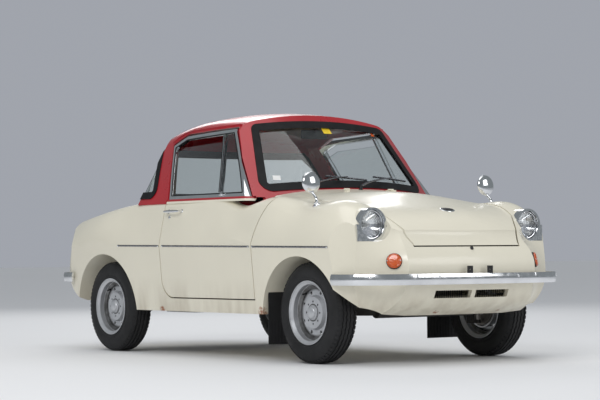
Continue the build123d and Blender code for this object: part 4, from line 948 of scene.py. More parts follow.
class COUPE_OT_tail_lamps(bpy.types.Operator):
    """Red lenses in chrome rims on the rear wings"""
    bl_idname = "coupe.tail_lamps"
    bl_label = "Tail lamps"

    def execute(self, context):
        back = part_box("tail_lamps")[0].x
        y, z = TAIL_LAMP
        width, height, corner = TAIL_LAMP_SIZE
        screws = []
        for label, side in SIDES:
            centre = Vector((back, side * y, z))
            bm = bmesh.new()
            rings = []
            for inset, ahead in TAIL_LENS:
                outline = rounded_outline(width - 2 * inset, height - 2 * inset, corner - inset)
                rings.append([centre + Vector((ahead, across, up)) for across, up in outline])
            skin(bm, rings)
            lens = shaped(f"tail_lens_{label}", bm, "red_lens")
            settle(lens, "root", "red_lens", "tail_lamps")
            bm = bmesh.new()
            outline = rounded_outline(width, height, corner)
            points = [centre + Vector((0.014, across, up)) for across, up in outline]
            strip(bm, points, [Vector((-1, 0, 0))] * len(points), half_round(0.007, 0.008), loop=True)
            rim = shaped(f"tail_rim_{label}", bm, "chrome")
            settle(rim, "root", "chrome")
            screws += [centre + Vector((0.0005, 0, place * 0.034)) for place in (1, -1)]
        heads = grown("tail_screws", "screws", "chrome", screws, [Vector((-1, 0, 0))] * 4,
                      Radius=0.0028, Height=0.0016)
        settle(heads, "root", "chrome")
        return {"FINISHED"}


# Bright trim and outside fittings

class COUPE_OT_side_trim(bpy.types.Operator):
    """Side strips in three lengths, with end clips, and the gutters over the doors"""
    bl_idname = "coupe.side_trim"
    bl_label = "Side trim"

    def execute(self, context):
        sizes = context.scene.coupe_sizes
        spans = (
            ("front", "front_body", "root", DOOR_SEAM_X + 0.010, TRIM_FRONT_X),
            ("door", "door_", "", DOOR_REAR_X + 0.022, DOOR_SEAM_X - 0.012),
            ("rear", "rear_body", "root", TRIM_REAR_X, DOOR_REAR_X - 0.008),
        )
        for label, side in SIDES:
            for part, node, body, first_x, last_x in spans:
                if part == "door":
                    node = body = "door_" + label
                carrier = surface(node)
                points = []
                outs = []
                count = max(4, round((last_x - first_x) / 0.010))
                for step in range(count + 1):
                    x = first_x + (last_x - first_x) * step / count
                    share = (x - TRIM_REAR_X) / (TRIM_FRONT_X - TRIM_REAR_X)
                    z = TRIM_REAR_Z + (TRIM_FRONT_Z - TRIM_REAR_Z) * share
                    point, normal = beside(carrier, x, z, side)
                    points.append(point)
                    outs.append(normal)
                bm = bmesh.new()
                strip(bm, points, outs, half_round(sizes.trim_height, sizes.trim_proud))
                # the strips take the steel whose dark colour is a painted reflection
                line = shaped(f"side_strip_{part}_{label}", bm, "steel_painted_dark_reflection")
                settle(line, body, "chrome")
                bm = bmesh.new()
                for ends in (slice(0, 2), slice(-2, None)):
                    foot, tip = points[ends]
                    strip(bm, (foot, tip), [outs[ends][0]] * 2,
                          half_round(sizes.trim_height + 0.002, sizes.trim_proud + 0.0006))
                clips = shaped(f"side_clips_{part}_{label}", bm, "chrome")
                settle(clips, body, "chrome")
            roof = surface("roof")
            path = []
            outs = []
            for point in smooth_path([(x, 0, z) for x, z in GUTTER], 8):
                hit, normal = beside(roof, point.x, point.z, side)
                path.append(hit + normal * 0.001)
                outs.append(normal)
            bm = bmesh.new()
            strip(bm, path, outs, [(0.004, -0.002), (0.004, 0.003), (0.0015, 0.0065), (-0.001, 0.0065),
                                   (-0.001, 0.003), (-0.004, 0.001), (-0.004, -0.002)])
            gutter = shaped(f"gutter_{label}", bm, "crimson")
            settle(gutter, "root", "crimson_paint")
        return {"FINISHED"}


class COUPE_OT_mirrors(bpy.types.Operator):
    """Round wing mirrors on their stems"""
    bl_idname = "coupe.mirrors"
    bl_label = "Wing mirrors"

    def execute(self, context):
        head_x, head_z = MIRROR_HEAD
        wings = surface("front_body", "bonnet")
        for label, side in SIDES:
            head = Vector((head_x, side * MIRROR_Y, head_z))
            facing = Vector((1, 0, MIRROR_NOD)).normalized()
            bm = bmesh.new()
            shell = [(0.0, 0.004), (0.0465, 0.003), (0.0475, 0.0002), (0.0495, -0.0004), (0.0508, 0.0010)]
            for step in range(13):
                angle = math.pi / 2 * step / 12
                shell.append((0.0508 * math.cos(angle), 0.003 + 0.0185 * math.sin(angle)))
            shell[-1] = (0.0, shell[-1][1])
            lathe(bm, shell, head, facing, 64)
            cup = shaped(f"mirror_shell_{label}", bm, "chrome")
            settle(cup, "root", "chrome", "fender_mirrors")
            bm = bmesh.new()
            lathe(bm, [(0.0, 0.0032), (0.0464, 0.0030), (0.0464, 0.0018), (0.0, 0.0008)], head, facing, 64)
            glass = shaped(f"mirror_glass_{label}", bm, "mirror")
            settle(glass, "root", "chrome")
            neck = head + facing * 0.012 - Vector((0, 0, 0.046))
            foot, normal = over(wings, MIRROR_FOOT_X, side * MIRROR_Y)
            bend = foot.lerp(neck, 0.45) + Vector((0.012, 0, 0.004))
            path = smooth_path([foot - normal * 0.002, bend, neck, neck + Vector((-0.002, 0, 0.012))], 8)
            bm = bmesh.new()
            tube(bm, path, [0.0075 - 0.0028 * step / (len(path) - 1) for step in range(len(path))], 16)
            stem = shaped(f"mirror_stem_{label}", bm, "chrome")
            settle(stem, "root", "chrome")
            bm = bmesh.new()
            lathe(bm, [(0.0, -0.003), (0.020, -0.003), (0.0195, 0.0025), (0.0150, 0.0055), (0.0105, 0.0090),
                       (0.0095, 0.0150), (0.0, 0.0165)], foot, normal, 32)
            lathe(bm, [(0.0, -0.010), (0.0060, -0.008), (0.0088, -0.003), (0.0088, 0.003), (0.0060, 0.008),
                       (0.0, 0.010)], neck, (0, 1, 0), 24)
            base = shaped(f"mirror_base_{label}", bm, "chrome")
            settle(base, "root", "chrome")
        return {"FINISHED"}


class COUPE_OT_wipers(bpy.types.Operator):
    """Spindles, sprung arms and blades on the windscreen"""
    bl_idname = "coupe.wipers"
    bl_label = "Wipers"

    def execute(self, context):
        screen = surface("windscreen", "windscreen_rubber")
        for index, (pivot_x, pivot_y) in enumerate(WIPER_PIVOTS):
            foot = Vector((pivot_x, pivot_y, WIPER_Z))
            bm = bmesh.new()
            lathe(bm, [(0.0, -0.040), (0.012, -0.040), (0.012, -0.022), (0.0085, -0.016), (0.0085, 0.0),
                       (0.0070, 0.003), (0.0, 0.0045)], foot, (0.25, 0, 1), 24)
            spindle = shaped(f"wiper_spindle_{index}", bm, "black_paint")
            settle(spindle, "root", "black_paint", "wipers")
            blade_points = []
            outs = []
            for step in range(13):
                share = step / 12
                y = pivot_y + BLADE_START + BLADE_LENGTH * share
                z = BLADE_Z + BLADE_RISE * share
                hit, normal = before(screen, y, z)
                blade_points.append(hit + normal * 0.0015)
                outs.append(normal)
            bm = bmesh.new()
            strip(bm, blade_points, outs, [(0.0035, 0.004), (0.0008, 0.0), (-0.0008, 0.0), (-0.0035, 0.004)])
            rubber = shaped(f"wiper_rubber_{index}", bm, "rubber")
            settle(rubber, "root", "seal_rubber")
            bm = bmesh.new()
            strip(bm, blade_points, outs, [(0.0030, 0.0042), (0.0030, 0.0085), (0.0012, 0.0100),
                                           (-0.0012, 0.0100), (-0.0030, 0.0085), (-0.0030, 0.0042)])
            middle = len(blade_points) // 2
            grip_foot = blade_points[middle] + outs[middle] * 0.010
            path = smooth_path([foot, foot.lerp(grip_foot, 0.25) + Vector((0.010, 0, 0.010)),
                                foot.lerp(grip_foot, 0.7) + outs[middle] * 0.014,
                                grip_foot + outs[middle] * 0.004], 6)
            reach = len(path) - 1
            tube(bm, path, [0.0060 - 0.0032 * step / reach for step in range(reach + 1)], 10)
            # the arms take the steel whose dark colour is a painted reflection
            arm = shaped(f"wiper_arm_{index}", bm, "steel_painted_dark_reflection")
            settle(arm, "root", "silver_paint")
        return {"FINISHED"}


class COUPE_OT_door_handles(bpy.types.Operator):
    """Pull handles with their scutcheons and lock barrels"""
    bl_idname = "coupe.door_handles"
    bl_label = "Door handles"

    def execute(self, context):
        for label, side in SIDES:
            door = surface("door_" + label)
            low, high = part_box("door_handle_" + label)
            z = (low.z + high.z) / 2
            outer = max(abs(low.y), abs(high.y)) - 0.001
            bm = bmesh.new()
            rings = []
            steps = 20
            for step in range(steps + 1):
                share = step / steps
                x = low.x + 0.004 + (high.x - low.x - 0.006) * share
                arch = math.sin(math.pi * share) ** 0.6
                tall = 0.0040 + 0.0032 * arch
                deep = 0.0028 + 0.0024 * arch
                y = side * (outer - 0.008 + 0.0025 * arch)
                turns = [2 * math.pi * part / 16 for part in range(16)]
                rings.append([Vector((x, y + deep * math.cos(t), z + tall * math.sin(t))) for t in turns])
            skin(bm, rings)
            for x, radius in ((low.x + 0.012, 0.0075), (high.x - 0.012, 0.0065)):
                foot, normal = beside(door, x, z, side)
                tip = Vector((x, side * (outer - 0.006), z))
                tube(bm, [foot - normal * 0.001, foot.lerp(tip, 0.5), tip], [radius, radius * 0.8, radius * 0.75], 16)
                lathe(bm, [(0.0, -0.002), (radius + 0.004, -0.002), (radius + 0.0035, 0.002), (0.0, 0.003)],
                      foot, normal, 24)
            handle = shaped(f"door_pull_{label}", bm, "chrome")
            settle(handle, "door_" + label, "chrome", "door_handle_" + label)
            bm = bmesh.new()
            lock, normal = beside(door, low.x + 0.030, z - 0.030, side)
            lathe(bm, [(0.0, -0.002), (0.0095, -0.002), (0.0090, 0.0020), (0.0065, 0.0035), (0.0060, 0.0050),
                       (0.0, 0.0052)], lock, normal, 24)
            barrel = shaped(f"door_lock_{label}", bm, "chrome")
            settle(barrel, "door_" + label, "chrome")
        return {"FINISHED"}


class COUPE_OT_window_seals(bpy.types.Operator):
    """Rubber inside the window frames, waist strips and quarter-light catches"""
    bl_idname = "coupe.window_seals"
    bl_label = "Window seals"

    def execute(self, context):
        for label, side in SIDES:
            body = "door_" + label
            bars = surface("door_frame_" + label)
            inner = inset_outline(FRAME_OUTLINE, FRAME_BAR - 0.003)
            bm = bmesh.new()
            for start, end in zip(inner, inner[1:] + inner[:1]):
                points = []
                outs = []
                count = max(3, round((Vector(end) - Vector(start)).length / 0.03))
                for step in range(count + 1):
                    x, z = Vector(start).lerp(Vector(end), step / count)
                    hit, normal = beside(bars, x, z, side)
                    points.append(hit)
                    outs.append(normal)
                strip(bm, points, outs, half_round(0.0065, 0.0022, sunk=0.002, steps=6))
            seal = shaped(f"window_seal_{label}", bm, "rubber")
            settle(seal, body, "seal_rubber")
            (low_x, low_z), (high_x, high_z) = DIVIDER_LINE
            bm = bmesh.new()
            for offset in (-0.0055, 0.0055):
                points = []
                outs = []
                for step in range(9):
                    share = step / 8
                    x = low_x + (high_x - low_x) * share + offset
                    z = low_z + (high_z - low_z) * share
                    hit, normal = beside(bars, x, z, side)
                    points.append(hit)
                    outs.append(normal)
                strip(bm, points, outs, half_round(0.004, 0.002, steps=5))
            edges = shaped(f"divider_seals_{label}", bm, "rubber")
            settle(edges, body, "seal_rubber")
            hit, normal = beside(bars, *CATCH_PLACE, side)
            bm = bmesh.new()
            rounded_block(bm, hit + normal * 0.003, (0.030, 0.006, 0.010), 0.002)
            rounded_block(bm, hit + normal * 0.007 + Vector((0.010, 0, 0.004)), (0.012, 0.006, 0.018), 0.002)
            catch = shaped(f"quarter_catch_{label}", bm, "chrome")
            settle(catch, body, "chrome")
        return {"FINISHED"}


class COUPE_OT_bumper_fittings(bpy.types.Operator):
    """Bumper bolts, joint sleeves and the plate bolts"""
    bl_idname = "coupe.bumper_fittings"
    bl_label = "Bumper fittings"

    def execute(self, context):
        bolts = []
        facing = []
        for end, node in ((1, "front_bumper"), (-1, "rear_bumper")):
            bar = surface(node)
            for y in (*BUMPER_BOLTS, *[-y for y in BUMPER_BOLTS]):
                hit, normal = before(bar, y, BUMPER_MIDDLE_Z + 0.011, end)
                bolts.append(hit)
                facing.append(normal)
            for side in (1, -1):
                points = []
                outs = []
                for step in range(11):
                    z = BUMPER_MIDDLE_Z + (step / 10 - 0.5) * 0.047
                    hit, normal = before(bar, side * BUMPER_JOINT_Y, z, end)
                    points.append(hit)
                    outs.append(normal)
                bm = bmesh.new()
                strip(bm, points, outs, half_round(0.009, 0.0018, steps=6))
                sleeve = shaped(f"bumper_joint_{'front' if end > 0 else 'rear'}_{side + 1}", bm, "worn_chrome")
                settle(sleeve, "root", "chrome")
        heads = grown("bumper_bolts", "screws", "chrome", bolts, facing, Radius=0.0075, Height=0.0035)
        settle(heads, "root", "chrome")
        low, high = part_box("plate_brackets")
        places = [Vector((low.x - 0.001, side * PLATE_BRACKET_Y, high.z - 0.006)) for side in (1, -1)]
        nuts = grown("plate_bracket_nuts", "nuts", "dark_steel", places, [Vector((-1, 0, 0))] * 2,
                     Radius=0.006, Height=0.005, Sides=6)
        settle(nuts, "root", "steel")
        return {"FINISHED"}


class COUPE_OT_nose_fittings(bpy.types.Operator):
    """Plain oval badge, bonnet catch, screen labels and the mesh in the apron slots"""
    bl_idname = "coupe.nose_fittings"
    bl_label = "Nose fittings"

    def execute(self, context):
        bonnet = surface("bonnet")
        middle, normal = over(bonnet, BADGE_X, 0.0)
        ahead = Vector((0, 1, 0)).cross(normal).normalized()
        for name, material, half_wide, half_long, height in (
            ("badge_rim", "chrome", 0.041, 0.027, 0.0035), ("badge_field", "dial_face", 0.035, 0.021, 0.0048),
        ):
            bm = bmesh.new()
            rings = []
            for size, lift in ((1.0, -0.004), (1.0, height * 0.4), (0.96, height * 0.8), (0.88, height),
                               (0.5, height + 0.0006), (0.02, height + 0.0008)):
                ring = []
                for step in range(48):
                    angle = 2 * math.pi * step / 48
                    flat = (Vector((0, 1, 0)) * half_wide * math.cos(angle) + ahead * half_long * math.sin(angle))
                    hit, slope = over(bonnet, middle.x + flat.x * size, middle.y + flat.y * size)
                    ring.append(hit + slope * lift)
                rings.append(ring)
            skin(bm, rings)
            plate = shaped(name, bm, material)
            settle(plate, "bonnet", "chrome" if material == "chrome" else "black_paint")
        skin_below = surface("front_body")
        hit, normal = before(skin_below, 0.0, CATCH_Z)
        bm = bmesh.new()
        lathe(bm, [(0.0, -0.004), (0.009, -0.004), (0.0085, 0.004), (0.006, 0.007), (0.0, 0.0078)], hit, normal, 24)
        button = shaped("bonnet_catch", bm, "dark_steel")
        settle(button, "root", "steel")
        screen = surface("windscreen")
        for name, material, y, z, wide, high in SCREEN_LABELS:
            hit, normal = before(screen, y, z)
            turn = facing_frame(normal)
            bm = bmesh.new()
            rings = []
            for lift in (0.0003, 0.0007):
                outline = rounded_outline(wide, high, min(wide, high) * 0.12)
                rings.append([hit + turn @ Vector((a, b, lift)) for a, b in outline])
            skin(bm, rings)
            label = shaped(name, bm, material)
            settle(label, "root", "black_paint")
        places = []
        for side in (1, -1):
            for step in range(SLOT_WIRES):
                y = side * (0.020 + 0.190 * step / (SLOT_WIRES - 1))
                places.append(Vector((SLOT_MESH_X, y, 0.322)))
        wires = grown("slot_mesh", "blocks", "chassis_black", places, [Vector((1, 0, 0))] * len(places),
                      [Vector((0, 0, 1))] * len(places), Size=(0.046, 0.0022, 0.0022))
        settle(wires, "root", "black_paint")
        return {"FINISHED"}


class COUPE_OT_tail_fittings(bpy.types.Operator):
    """Louvres, lid handle, plate lamp and exhaust pipe"""
    bl_idname = "coupe.tail_fittings"
    bl_label = "Tail fittings"

    def execute(self, context):
        sizes = context.scene.coupe_sizes
        lid = surface("engine_lid")
        for side in (1, -1):
            bm = bmesh.new()
            for step in range(sizes.lid_slats):
                points = []
                outs = []
                for part in range(9):
                    x = LOUVRE_X - LOUVRE_PITCH * step
                    y = side * (0.075 + 0.200 * part / 8)
                    hit, normal = over(lid, x, y)
                    points.append(hit)
                    outs.append(normal)
                strip(bm, points, outs, [(0.010, -0.002), (0.010, 0.0005), (0.001, 0.0060), (-0.003, 0.0072),
                                         (-0.005, 0.0060), (-0.0045, -0.002)])
            louvres = shaped(f"lid_louvres_{side + 1}", bm, "cream")
            settle(louvres, "engine_lid", "cream_paint")
        hit, normal = before(lid, 0.0, LID_HANDLE_Z, -1)
        bm = bmesh.new()
        lathe(bm, [(0.0, -0.003), (0.021, -0.003), (0.0205, 0.003), (0.012, 0.006), (0.010, 0.014),
                   (0.0, 0.015)], hit, normal, 32)
        rounded_block(bm, hit + normal * 0.018, (0.010, 0.062, 0.013), 0.004)
        handle = shaped("lid_handle", bm, "chrome")
        settle(handle, "engine_lid", "chrome")
        hit, normal = before(lid, 0.0, PLATE_LAMP_Z, -1)
        bm = bmesh.new()
        rounded_block(bm, hit + normal * 0.012, (0.034, 0.090, 0.030), 0.008)
        hood = shaped("plate_lamp", bm, "chrome")
        settle(hood, "engine_lid", "chrome")
        bm = bmesh.new()
        rounded_block(bm, hit + normal * 0.012 - Vector((0, 0, 0.016)), (0.024, 0.070, 0.006), 0.002)
        glass = shaped("plate_lamp_glass", bm, "bulb")
        settle(glass, "engine_lid", "lamp_glass")
        bm = bmesh.new()
        path = smooth_path(EXHAUST_ROUTE, 8)
        outer = [0.0155] * len(path)
        tube(bm, path, outer, 24)
        end, before_end = path[-1], path[-2]
        mouth = (end - before_end).normalized()
        lathe(bm, [(0.0, -0.030), (0.0125, -0.030), (0.0130, 0.0015), (0.0165, 0.0015), (0.0165, -0.008),
                   (0.0150, -0.010)], end, mouth, 24)
        pipe = shaped("exhaust_pipe", bm, "dark_steel")
        settle(pipe, "root", "steel")
        return {"FINISHED"}


class COUPE_OT_mud_flaps(bpy.types.Operator):
    """Ribs and clamp bars of the mud flaps"""
    bl_idname = "coupe.mud_flaps"
    bl_label = "Mud flaps"

    def execute(self, context):
        low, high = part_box("mud_flaps")
        places = []
        for side in (1, -1):
            for step in range(FLAP_RIBS):
                y = side * (FLAP_IN_Y + 0.012 + (FLAP_OUT_Y - FLAP_IN_Y - 0.024) * step / (FLAP_RIBS - 1))
                places.append(Vector((high.x + 0.001, y, low.z + 0.060)))
        ribs = grown("mud_flap_ribs", "blocks", "flap_rubber", places, [Vector((1, 0, 0))] * len(places),
                     [Vector((0, 0, 1))] * len(places), Size=(0.112, 0.0055, 0.0030))
        settle(ribs, "root", "seal_rubber")
        return {"FINISHED"}


# Cabin

def lining(name, material, target, axis, firsts, seconds, start, towards, thickness, corner=0.0):
    """A sheet that follows the inside of a panel, found by rays across a grid."""
    bm = bmesh.new()
    rows = []
    for a in firsts:
        row = []
        for b in seconds:
            origin = Vector((a, b, start)) if axis == "Z" else Vector((a, start, b))
            hit, normal = cast(target, origin, towards)
            row.append(bm.verts.new(hit - Vector(towards) * 0.0015))
        rows.append(row)
    for low, high in zip(rows, rows[1:]):
        for index in range(len(low) - 1):
            bm.faces.new((low[index], low[index + 1], high[index + 1], high[index]))
    bmesh.ops.recalc_face_normals(bm, faces=bm.faces)
    shell = bm.faces[:]
    back = bmesh.ops.duplicate(bm, geom=bm.verts[:] + bm.edges[:] + shell)
    moved = [item for item in back["geom"] if isinstance(item, bmesh.types.BMVert)]
    bmesh.ops.translate(bm, verts=moved, vec=-Vector(towards) * thickness)
    edges = [edge for edge in bm.edges if edge.is_boundary]
    bmesh.ops.bridge_loops(bm, edges=edges)
    return shaped(name, bm, material)


def spread(first, last, count):
    return [first + (last - first) * step / (count - 1) for step in range(count)]


class COUPE_OT_linings(bpy.types.Operator):
    """Headlining, door cards with winders and pulls, and floor mats"""
    bl_idname = "coupe.linings"
    bl_label = "Linings"

    def execute(self, context):
        roof = surface("roof")
        cloth = lining("headlining", "headlining", roof, "Z", spread(-0.40, 0.16, 20), spread(-0.36, 0.36, 24),
                       0.95, (0, 0, 1), 0.003)
        settle(cloth, "root", "seat_cloth")
        for label, side in SIDES:
            body = "door_" + label
            door = surface(body)
            card = lining(f"door_card_{label}", "card_vinyl", door, "Y", spread(-0.235, 0.440, 24),
                          spread(0.330, 0.735, 16), side * 0.35, (0, side, 0), 0.004)
            settle(card, body, "seat_cloth")
            face, normal = cast(door, (0.10, side * 0.35, 0.60), (0, side, 0))
            inner_y = face.y - side * 0.006
            bm = bmesh.new()
            rounded_block(bm, (0.02, inner_y - side * 0.010, 0.545), (0.250, 0.028, 0.034), 0.011)
            rest = shaped(f"door_pull_inner_{label}", bm, "seat_vinyl")
            settle(rest, body, "seat_cloth")
            bm = bmesh.new()
            hub = Vector((0.270, inner_y, 0.610))
            inward = Vector((0, -side, 0))
            lathe(bm, [(0.0, -0.003), (0.021, -0.003), (0.020, 0.003), (0.010, 0.008), (0.0, 0.009)],
                  hub, inward, 32)
            tip = hub + inward * 0.013 + Vector((-0.045, 0, -0.070))
            tube(bm, [hub + inward * 0.006, hub.lerp(tip, 0.5) + inward * 0.004, tip], [0.0065, 0.0055, 0.0050], 12)
            lathe(bm, [(0.0, 0.0), (0.0060, 0.0), (0.0085, 0.006), (0.0085, 0.018), (0.0, 0.021)], tip, inward, 20)
            rounded_block(bm, (0.390, inner_y - side * 0.006, 0.680), (0.075, 0.012, 0.014), 0.004)
            winder = shaped(f"window_winder_{label}", bm, "chrome")
            settle(winder, body, "chrome")
            for place, x, length in (("front", 0.463, 0.180), ("rear", -0.115, 0.150)):
                bm = bmesh.new()
                rings = []
                for lift in (0.0005, 0.0035):
                    outline = rounded_outline(length, 0.360, 0.030)
                    rings.append([Vector((x + a, side * 0.250 + b, FLOOR_TOP_Z + lift)) for a, b in outline])
                skin(bm, rings)
                mat = shaped(f"floor_mat_{place}_{label}", bm, "carpet")
                settle(mat, "root", "seal_rubber")
        return {"FINISHED"}


class COUPE_OT_dash_fittings(bpy.types.Operator):
    """Speed dial with its scale, knobs, glove box lid and inside mirror"""
    bl_idname = "coupe.dash_fittings"
    bl_label = "Dashboard fittings"

    def execute(self, context):
        dash_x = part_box("dashboard")[0].x
        centre = Vector((dash_x, COLUMN_Y, DIAL_Z))
        back = Vector((-1, 0, 0))
        bm = bmesh.new()
        lathe(bm, [(0.0, -0.002), (0.0495, -0.002), (0.0495, 0.002), (0.0, 0.002)], centre, back, 64)
        face = shaped("dial_face", bm, "dial_face")
        settle(face, "root", "dash_plastic")
        bm = bmesh.new()
        lathe(bm, [(0.0480, -0.002), (0.0570, -0.002), (0.0560, 0.006), (0.0520, 0.010), (0.0490, 0.008)],
              centre, back, 64, loop_profile=True)
        for y in KNOB_PLACES:
            lathe(bm, [(0.0, -0.002), (0.0050, -0.002), (0.0050, 0.012), (0.0105, 0.014), (0.0115, 0.022),
                       (0.0090, 0.026), (0.0, 0.027)], (dash_x, y, DIAL_Z - 0.022), back, 24)
        rims = shaped("dial_rim", bm, "chrome")
        settle(rims, "root", "chrome")
        places = []
        along = []
        for step in range(DIAL_TICKS):
            angle = math.radians(225 - 270 * step / (DIAL_TICKS - 1))
            out = Vector((0, -math.cos(angle), math.sin(angle)))
            places.append(centre + back * 0.0024 + out * 0.0415)
            along.append(out)
        ticks = grown("dial_scale", "blocks", "dial_marks", places, [back] * DIAL_TICKS, along,
                      Size=(0.007, 0.0010, 0.0006))
        settle(ticks, "root", "dash_plastic")
        bm = bmesh.new()
        needle_out = Vector((0, -math.cos(math.radians(222)), math.sin(math.radians(222))))
        tube(bm, [centre + back * 0.0045 - needle_out * 0.008, centre + back * 0.0045 + needle_out * 0.036],
             [0.0012, 0.0004], 8)
        lathe(bm, [(0.0, 0.002), (0.0040, 0.002), (0.0035, 0.006), (0.0, 0.007)], centre, back, 20)
        needle = shaped("dial_needle", bm, "orange_label")
        settle(needle, "root", "dash_plastic")
        bm = bmesh.new()
        rounded_block(bm, (dash_x - 0.003, 0.250, 0.700), (0.008, 0.240, 0.070), 0.003)
        rounded_block(bm, (dash_x - 0.011, 0.250, 0.728), (0.010, 0.040, 0.008), 0.003)
        lid = shaped("glove_box_lid", bm, "dash_paint")
        settle(lid, "root", "dash_plastic")
        bm = bmesh.new()
        mirror_at = Vector(INSIDE_MIRROR)
        rounded_block(bm, mirror_at, (0.014, 0.160, 0.046), 0.006)
        hang, normal = over(surface("windscreen_rubber", "roof"), 0.215, 0.0)
        tube(bm, [mirror_at + Vector((0.004, 0, 0.010)), Vector((hang.x + 0.004, 0, 1.142))], 0.0045, 12)
        case = shaped("inside_mirror", bm, "black_paint")
        settle(case, "root", "black_paint")
        bm = bmesh.new()
        rounded_block(bm, mirror_at - Vector((0.0070, 0, 0)), (0.002, 0.150, 0.038), 0.0008, steps=1)
        glass = shaped("inside_mirror_glass", bm, "mirror")
        settle(glass, "root", "chrome")
        return {"FINISHED"}


class COUPE_OT_controls(bpy.types.Operator):
    """Steering wheel and column, gear lever, hand brake and pedals"""
    bl_idname = "coupe.controls"
    bl_label = "Controls"

    def execute(self, context):
        tilt = math.radians(COLUMN_TILT)
        axis = Vector((-math.cos(tilt), 0, math.sin(tilt)))
        hub = Vector((STEERING_X, COLUMN_Y, STEERING_Z))
        bm = bmesh.new()
        ring = [2 * math.pi * step / 14 for step in range(14)]
        lathe(bm, [(STEERING_RADIUS + 0.0105 * math.cos(t), 0.0105 * math.sin(t)) for t in ring],
              hub, axis, 96, loop_profile=True)
        turn = facing_frame(axis)
        for place in (1, -1):
            reach = turn @ Vector((0, place, 0))
            middle = hub + reach * STEERING_RADIUS * 0.56
            rounded_block(bm, middle, (0.020, STEERING_RADIUS * 0.86, 0.007), 0.003, turn=turn)
        wheel = shaped("steering_wheel", bm, "grip")
        settle(wheel, "root", "dash_plastic", "steering")
        bm = bmesh.new()
        lathe(bm, [(0.0, -0.010), (0.030, -0.010), (0.030, 0.006), (0.026, 0.014), (0.018, 0.019), (0.0, 0.021)],
              hub, axis, 40)
        lathe(bm, [(0.090 + 0.003 * math.cos(t), 0.012 + 0.003 * math.sin(t)) for t in ring], hub, axis, 64,
              loop_profile=True)
        horn = shaped("horn_ring", bm, "chrome")
        settle(horn, "root", "chrome")
        bm = bmesh.new()
        foot = hub - axis * ((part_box("steering")[1].x - STEERING_X) / math.cos(tilt) - 0.012)
        tube(bm, [foot, hub - axis * 0.012], 0.0165, 24)
        stalk = hub - axis * 0.085
        sideways = Vector((0, 1, 0.25)).normalized()
        tube(bm, [stalk + sideways * 0.012, stalk + sideways * 0.110], [0.0035, 0.0030], 10)
        column = shaped("steering_column", bm, "black_paint")
        settle(column, "root", "dash_plastic", "steering")
        bm = bmesh.new()
        lever = smooth_path(GEAR_LEVER, 8)
        tube(bm, lever, [0.0065 - 0.002 * step / (len(lever) - 1) for step in range(len(lever))], 12)
        brake = smooth_path(HAND_BRAKE, 6)
        tube(bm, brake, 0.0075, 12)
        rods = shaped("lever_rods", bm, "chrome")
        settle(rods, "root", "chrome")
        bm = bmesh.new()
        lathe(bm, [(0.0, -0.014), (0.008, -0.014), (0.014, -0.004), (0.0155, 0.004), (0.012, 0.013), (0.0, 0.017)],
              lever[-1], lever[-1] - lever[-2], 24)
        lathe(bm, [(0.045, 0.0005), (0.043, 0.010), (0.028, 0.020), (0.018, 0.038), (0.009, 0.046), (0.0, 0.047),
                   (0.0, 0.0005)], lever[0], (0, 0, 1), 32)
        tube(bm, [brake[-1], brake[-1] + (brake[-1] - brake[-2]).normalized() * 0.095], [0.0115, 0.0125], 16)
        for y in PEDALS_Y:
            rounded_block(bm, (0.500, y, 0.345), (0.012, 0.050, 0.058), 0.004)
            tube(bm, [(0.508, y, 0.350), (0.535, y, 0.440), (0.552, y, 0.560)], 0.0060, 10)
        knobs = shaped("lever_knobs_and_pedals", bm, "rubber")
        settle(knobs, "root", "seal_rubber")
        return {"FINISHED"}


# Seats

def swollen(pad, swell):
    """Cloth under pressure, no point moving further than swell."""
    scene = bpy.context.scene
    remesh = pad.modifiers.new("remesh", "REMESH")
    remesh.mode = "VOXEL"
    remesh.voxel_size = PAD_VOXEL
    pad.data = bpy.data.meshes.new_from_object(pad.evaluated_get(bpy.context.evaluated_depsgraph_get()))
    pad.modifiers.clear()
    starts = [vertex.co.copy() for vertex in pad.data.vertices]
    cloth = pad.modifiers.new("cloth", "CLOTH")
    cloth.settings.use_pressure = True
    cloth.settings.uniform_pressure_force = PAD_PRESSURE
    cloth.settings.effector_weights.gravity = 0.0
    cloth.point_cache.frame_end = PAD_FRAMES
    for step in range(1, PAD_FRAMES + 1):
        scene.frame_set(step)
    puffed = bpy.data.meshes.new_from_object(pad.evaluated_get(bpy.context.evaluated_depsgraph_get()))
    pad.modifiers.clear()
    scene.frame_set(1)
    for vertex, start in zip(puffed.vertices, starts):
        shift = vertex.co - start
        if shift.length > swell:
            shift *= swell / shift.length
        vertex.co = start + shift
    pad.data = puffed


def sewn(pad, size, channels):
    """Presses the seams between the channels, and one round the field, into the top of a pad."""
    length, width, depth = size
    field_x = length / 2 - PAD_BORDER
    field_y = width / 2 - PAD_BORDER
    for vertex in pad.data.vertices:
        x, y, z = vertex.co
        if z < 0.1 * depth:
            continue
        to_edge = min(field_x - abs(x), field_y - abs(y))
        press = math.exp(-(to_edge / SEAM_HALF) ** 2)
        if to_edge > 0:
            pitch = 2 * field_y / channels
            off = (y + field_y) % pitch
            off = min(off, pitch - off)
            press = max(press, math.exp(-(off / SEAM_HALF) ** 2))
        vertex.co.z -= SEAM_DEPTH * press
    for polygon in pad.data.polygons:
        polygon.use_smooth = True


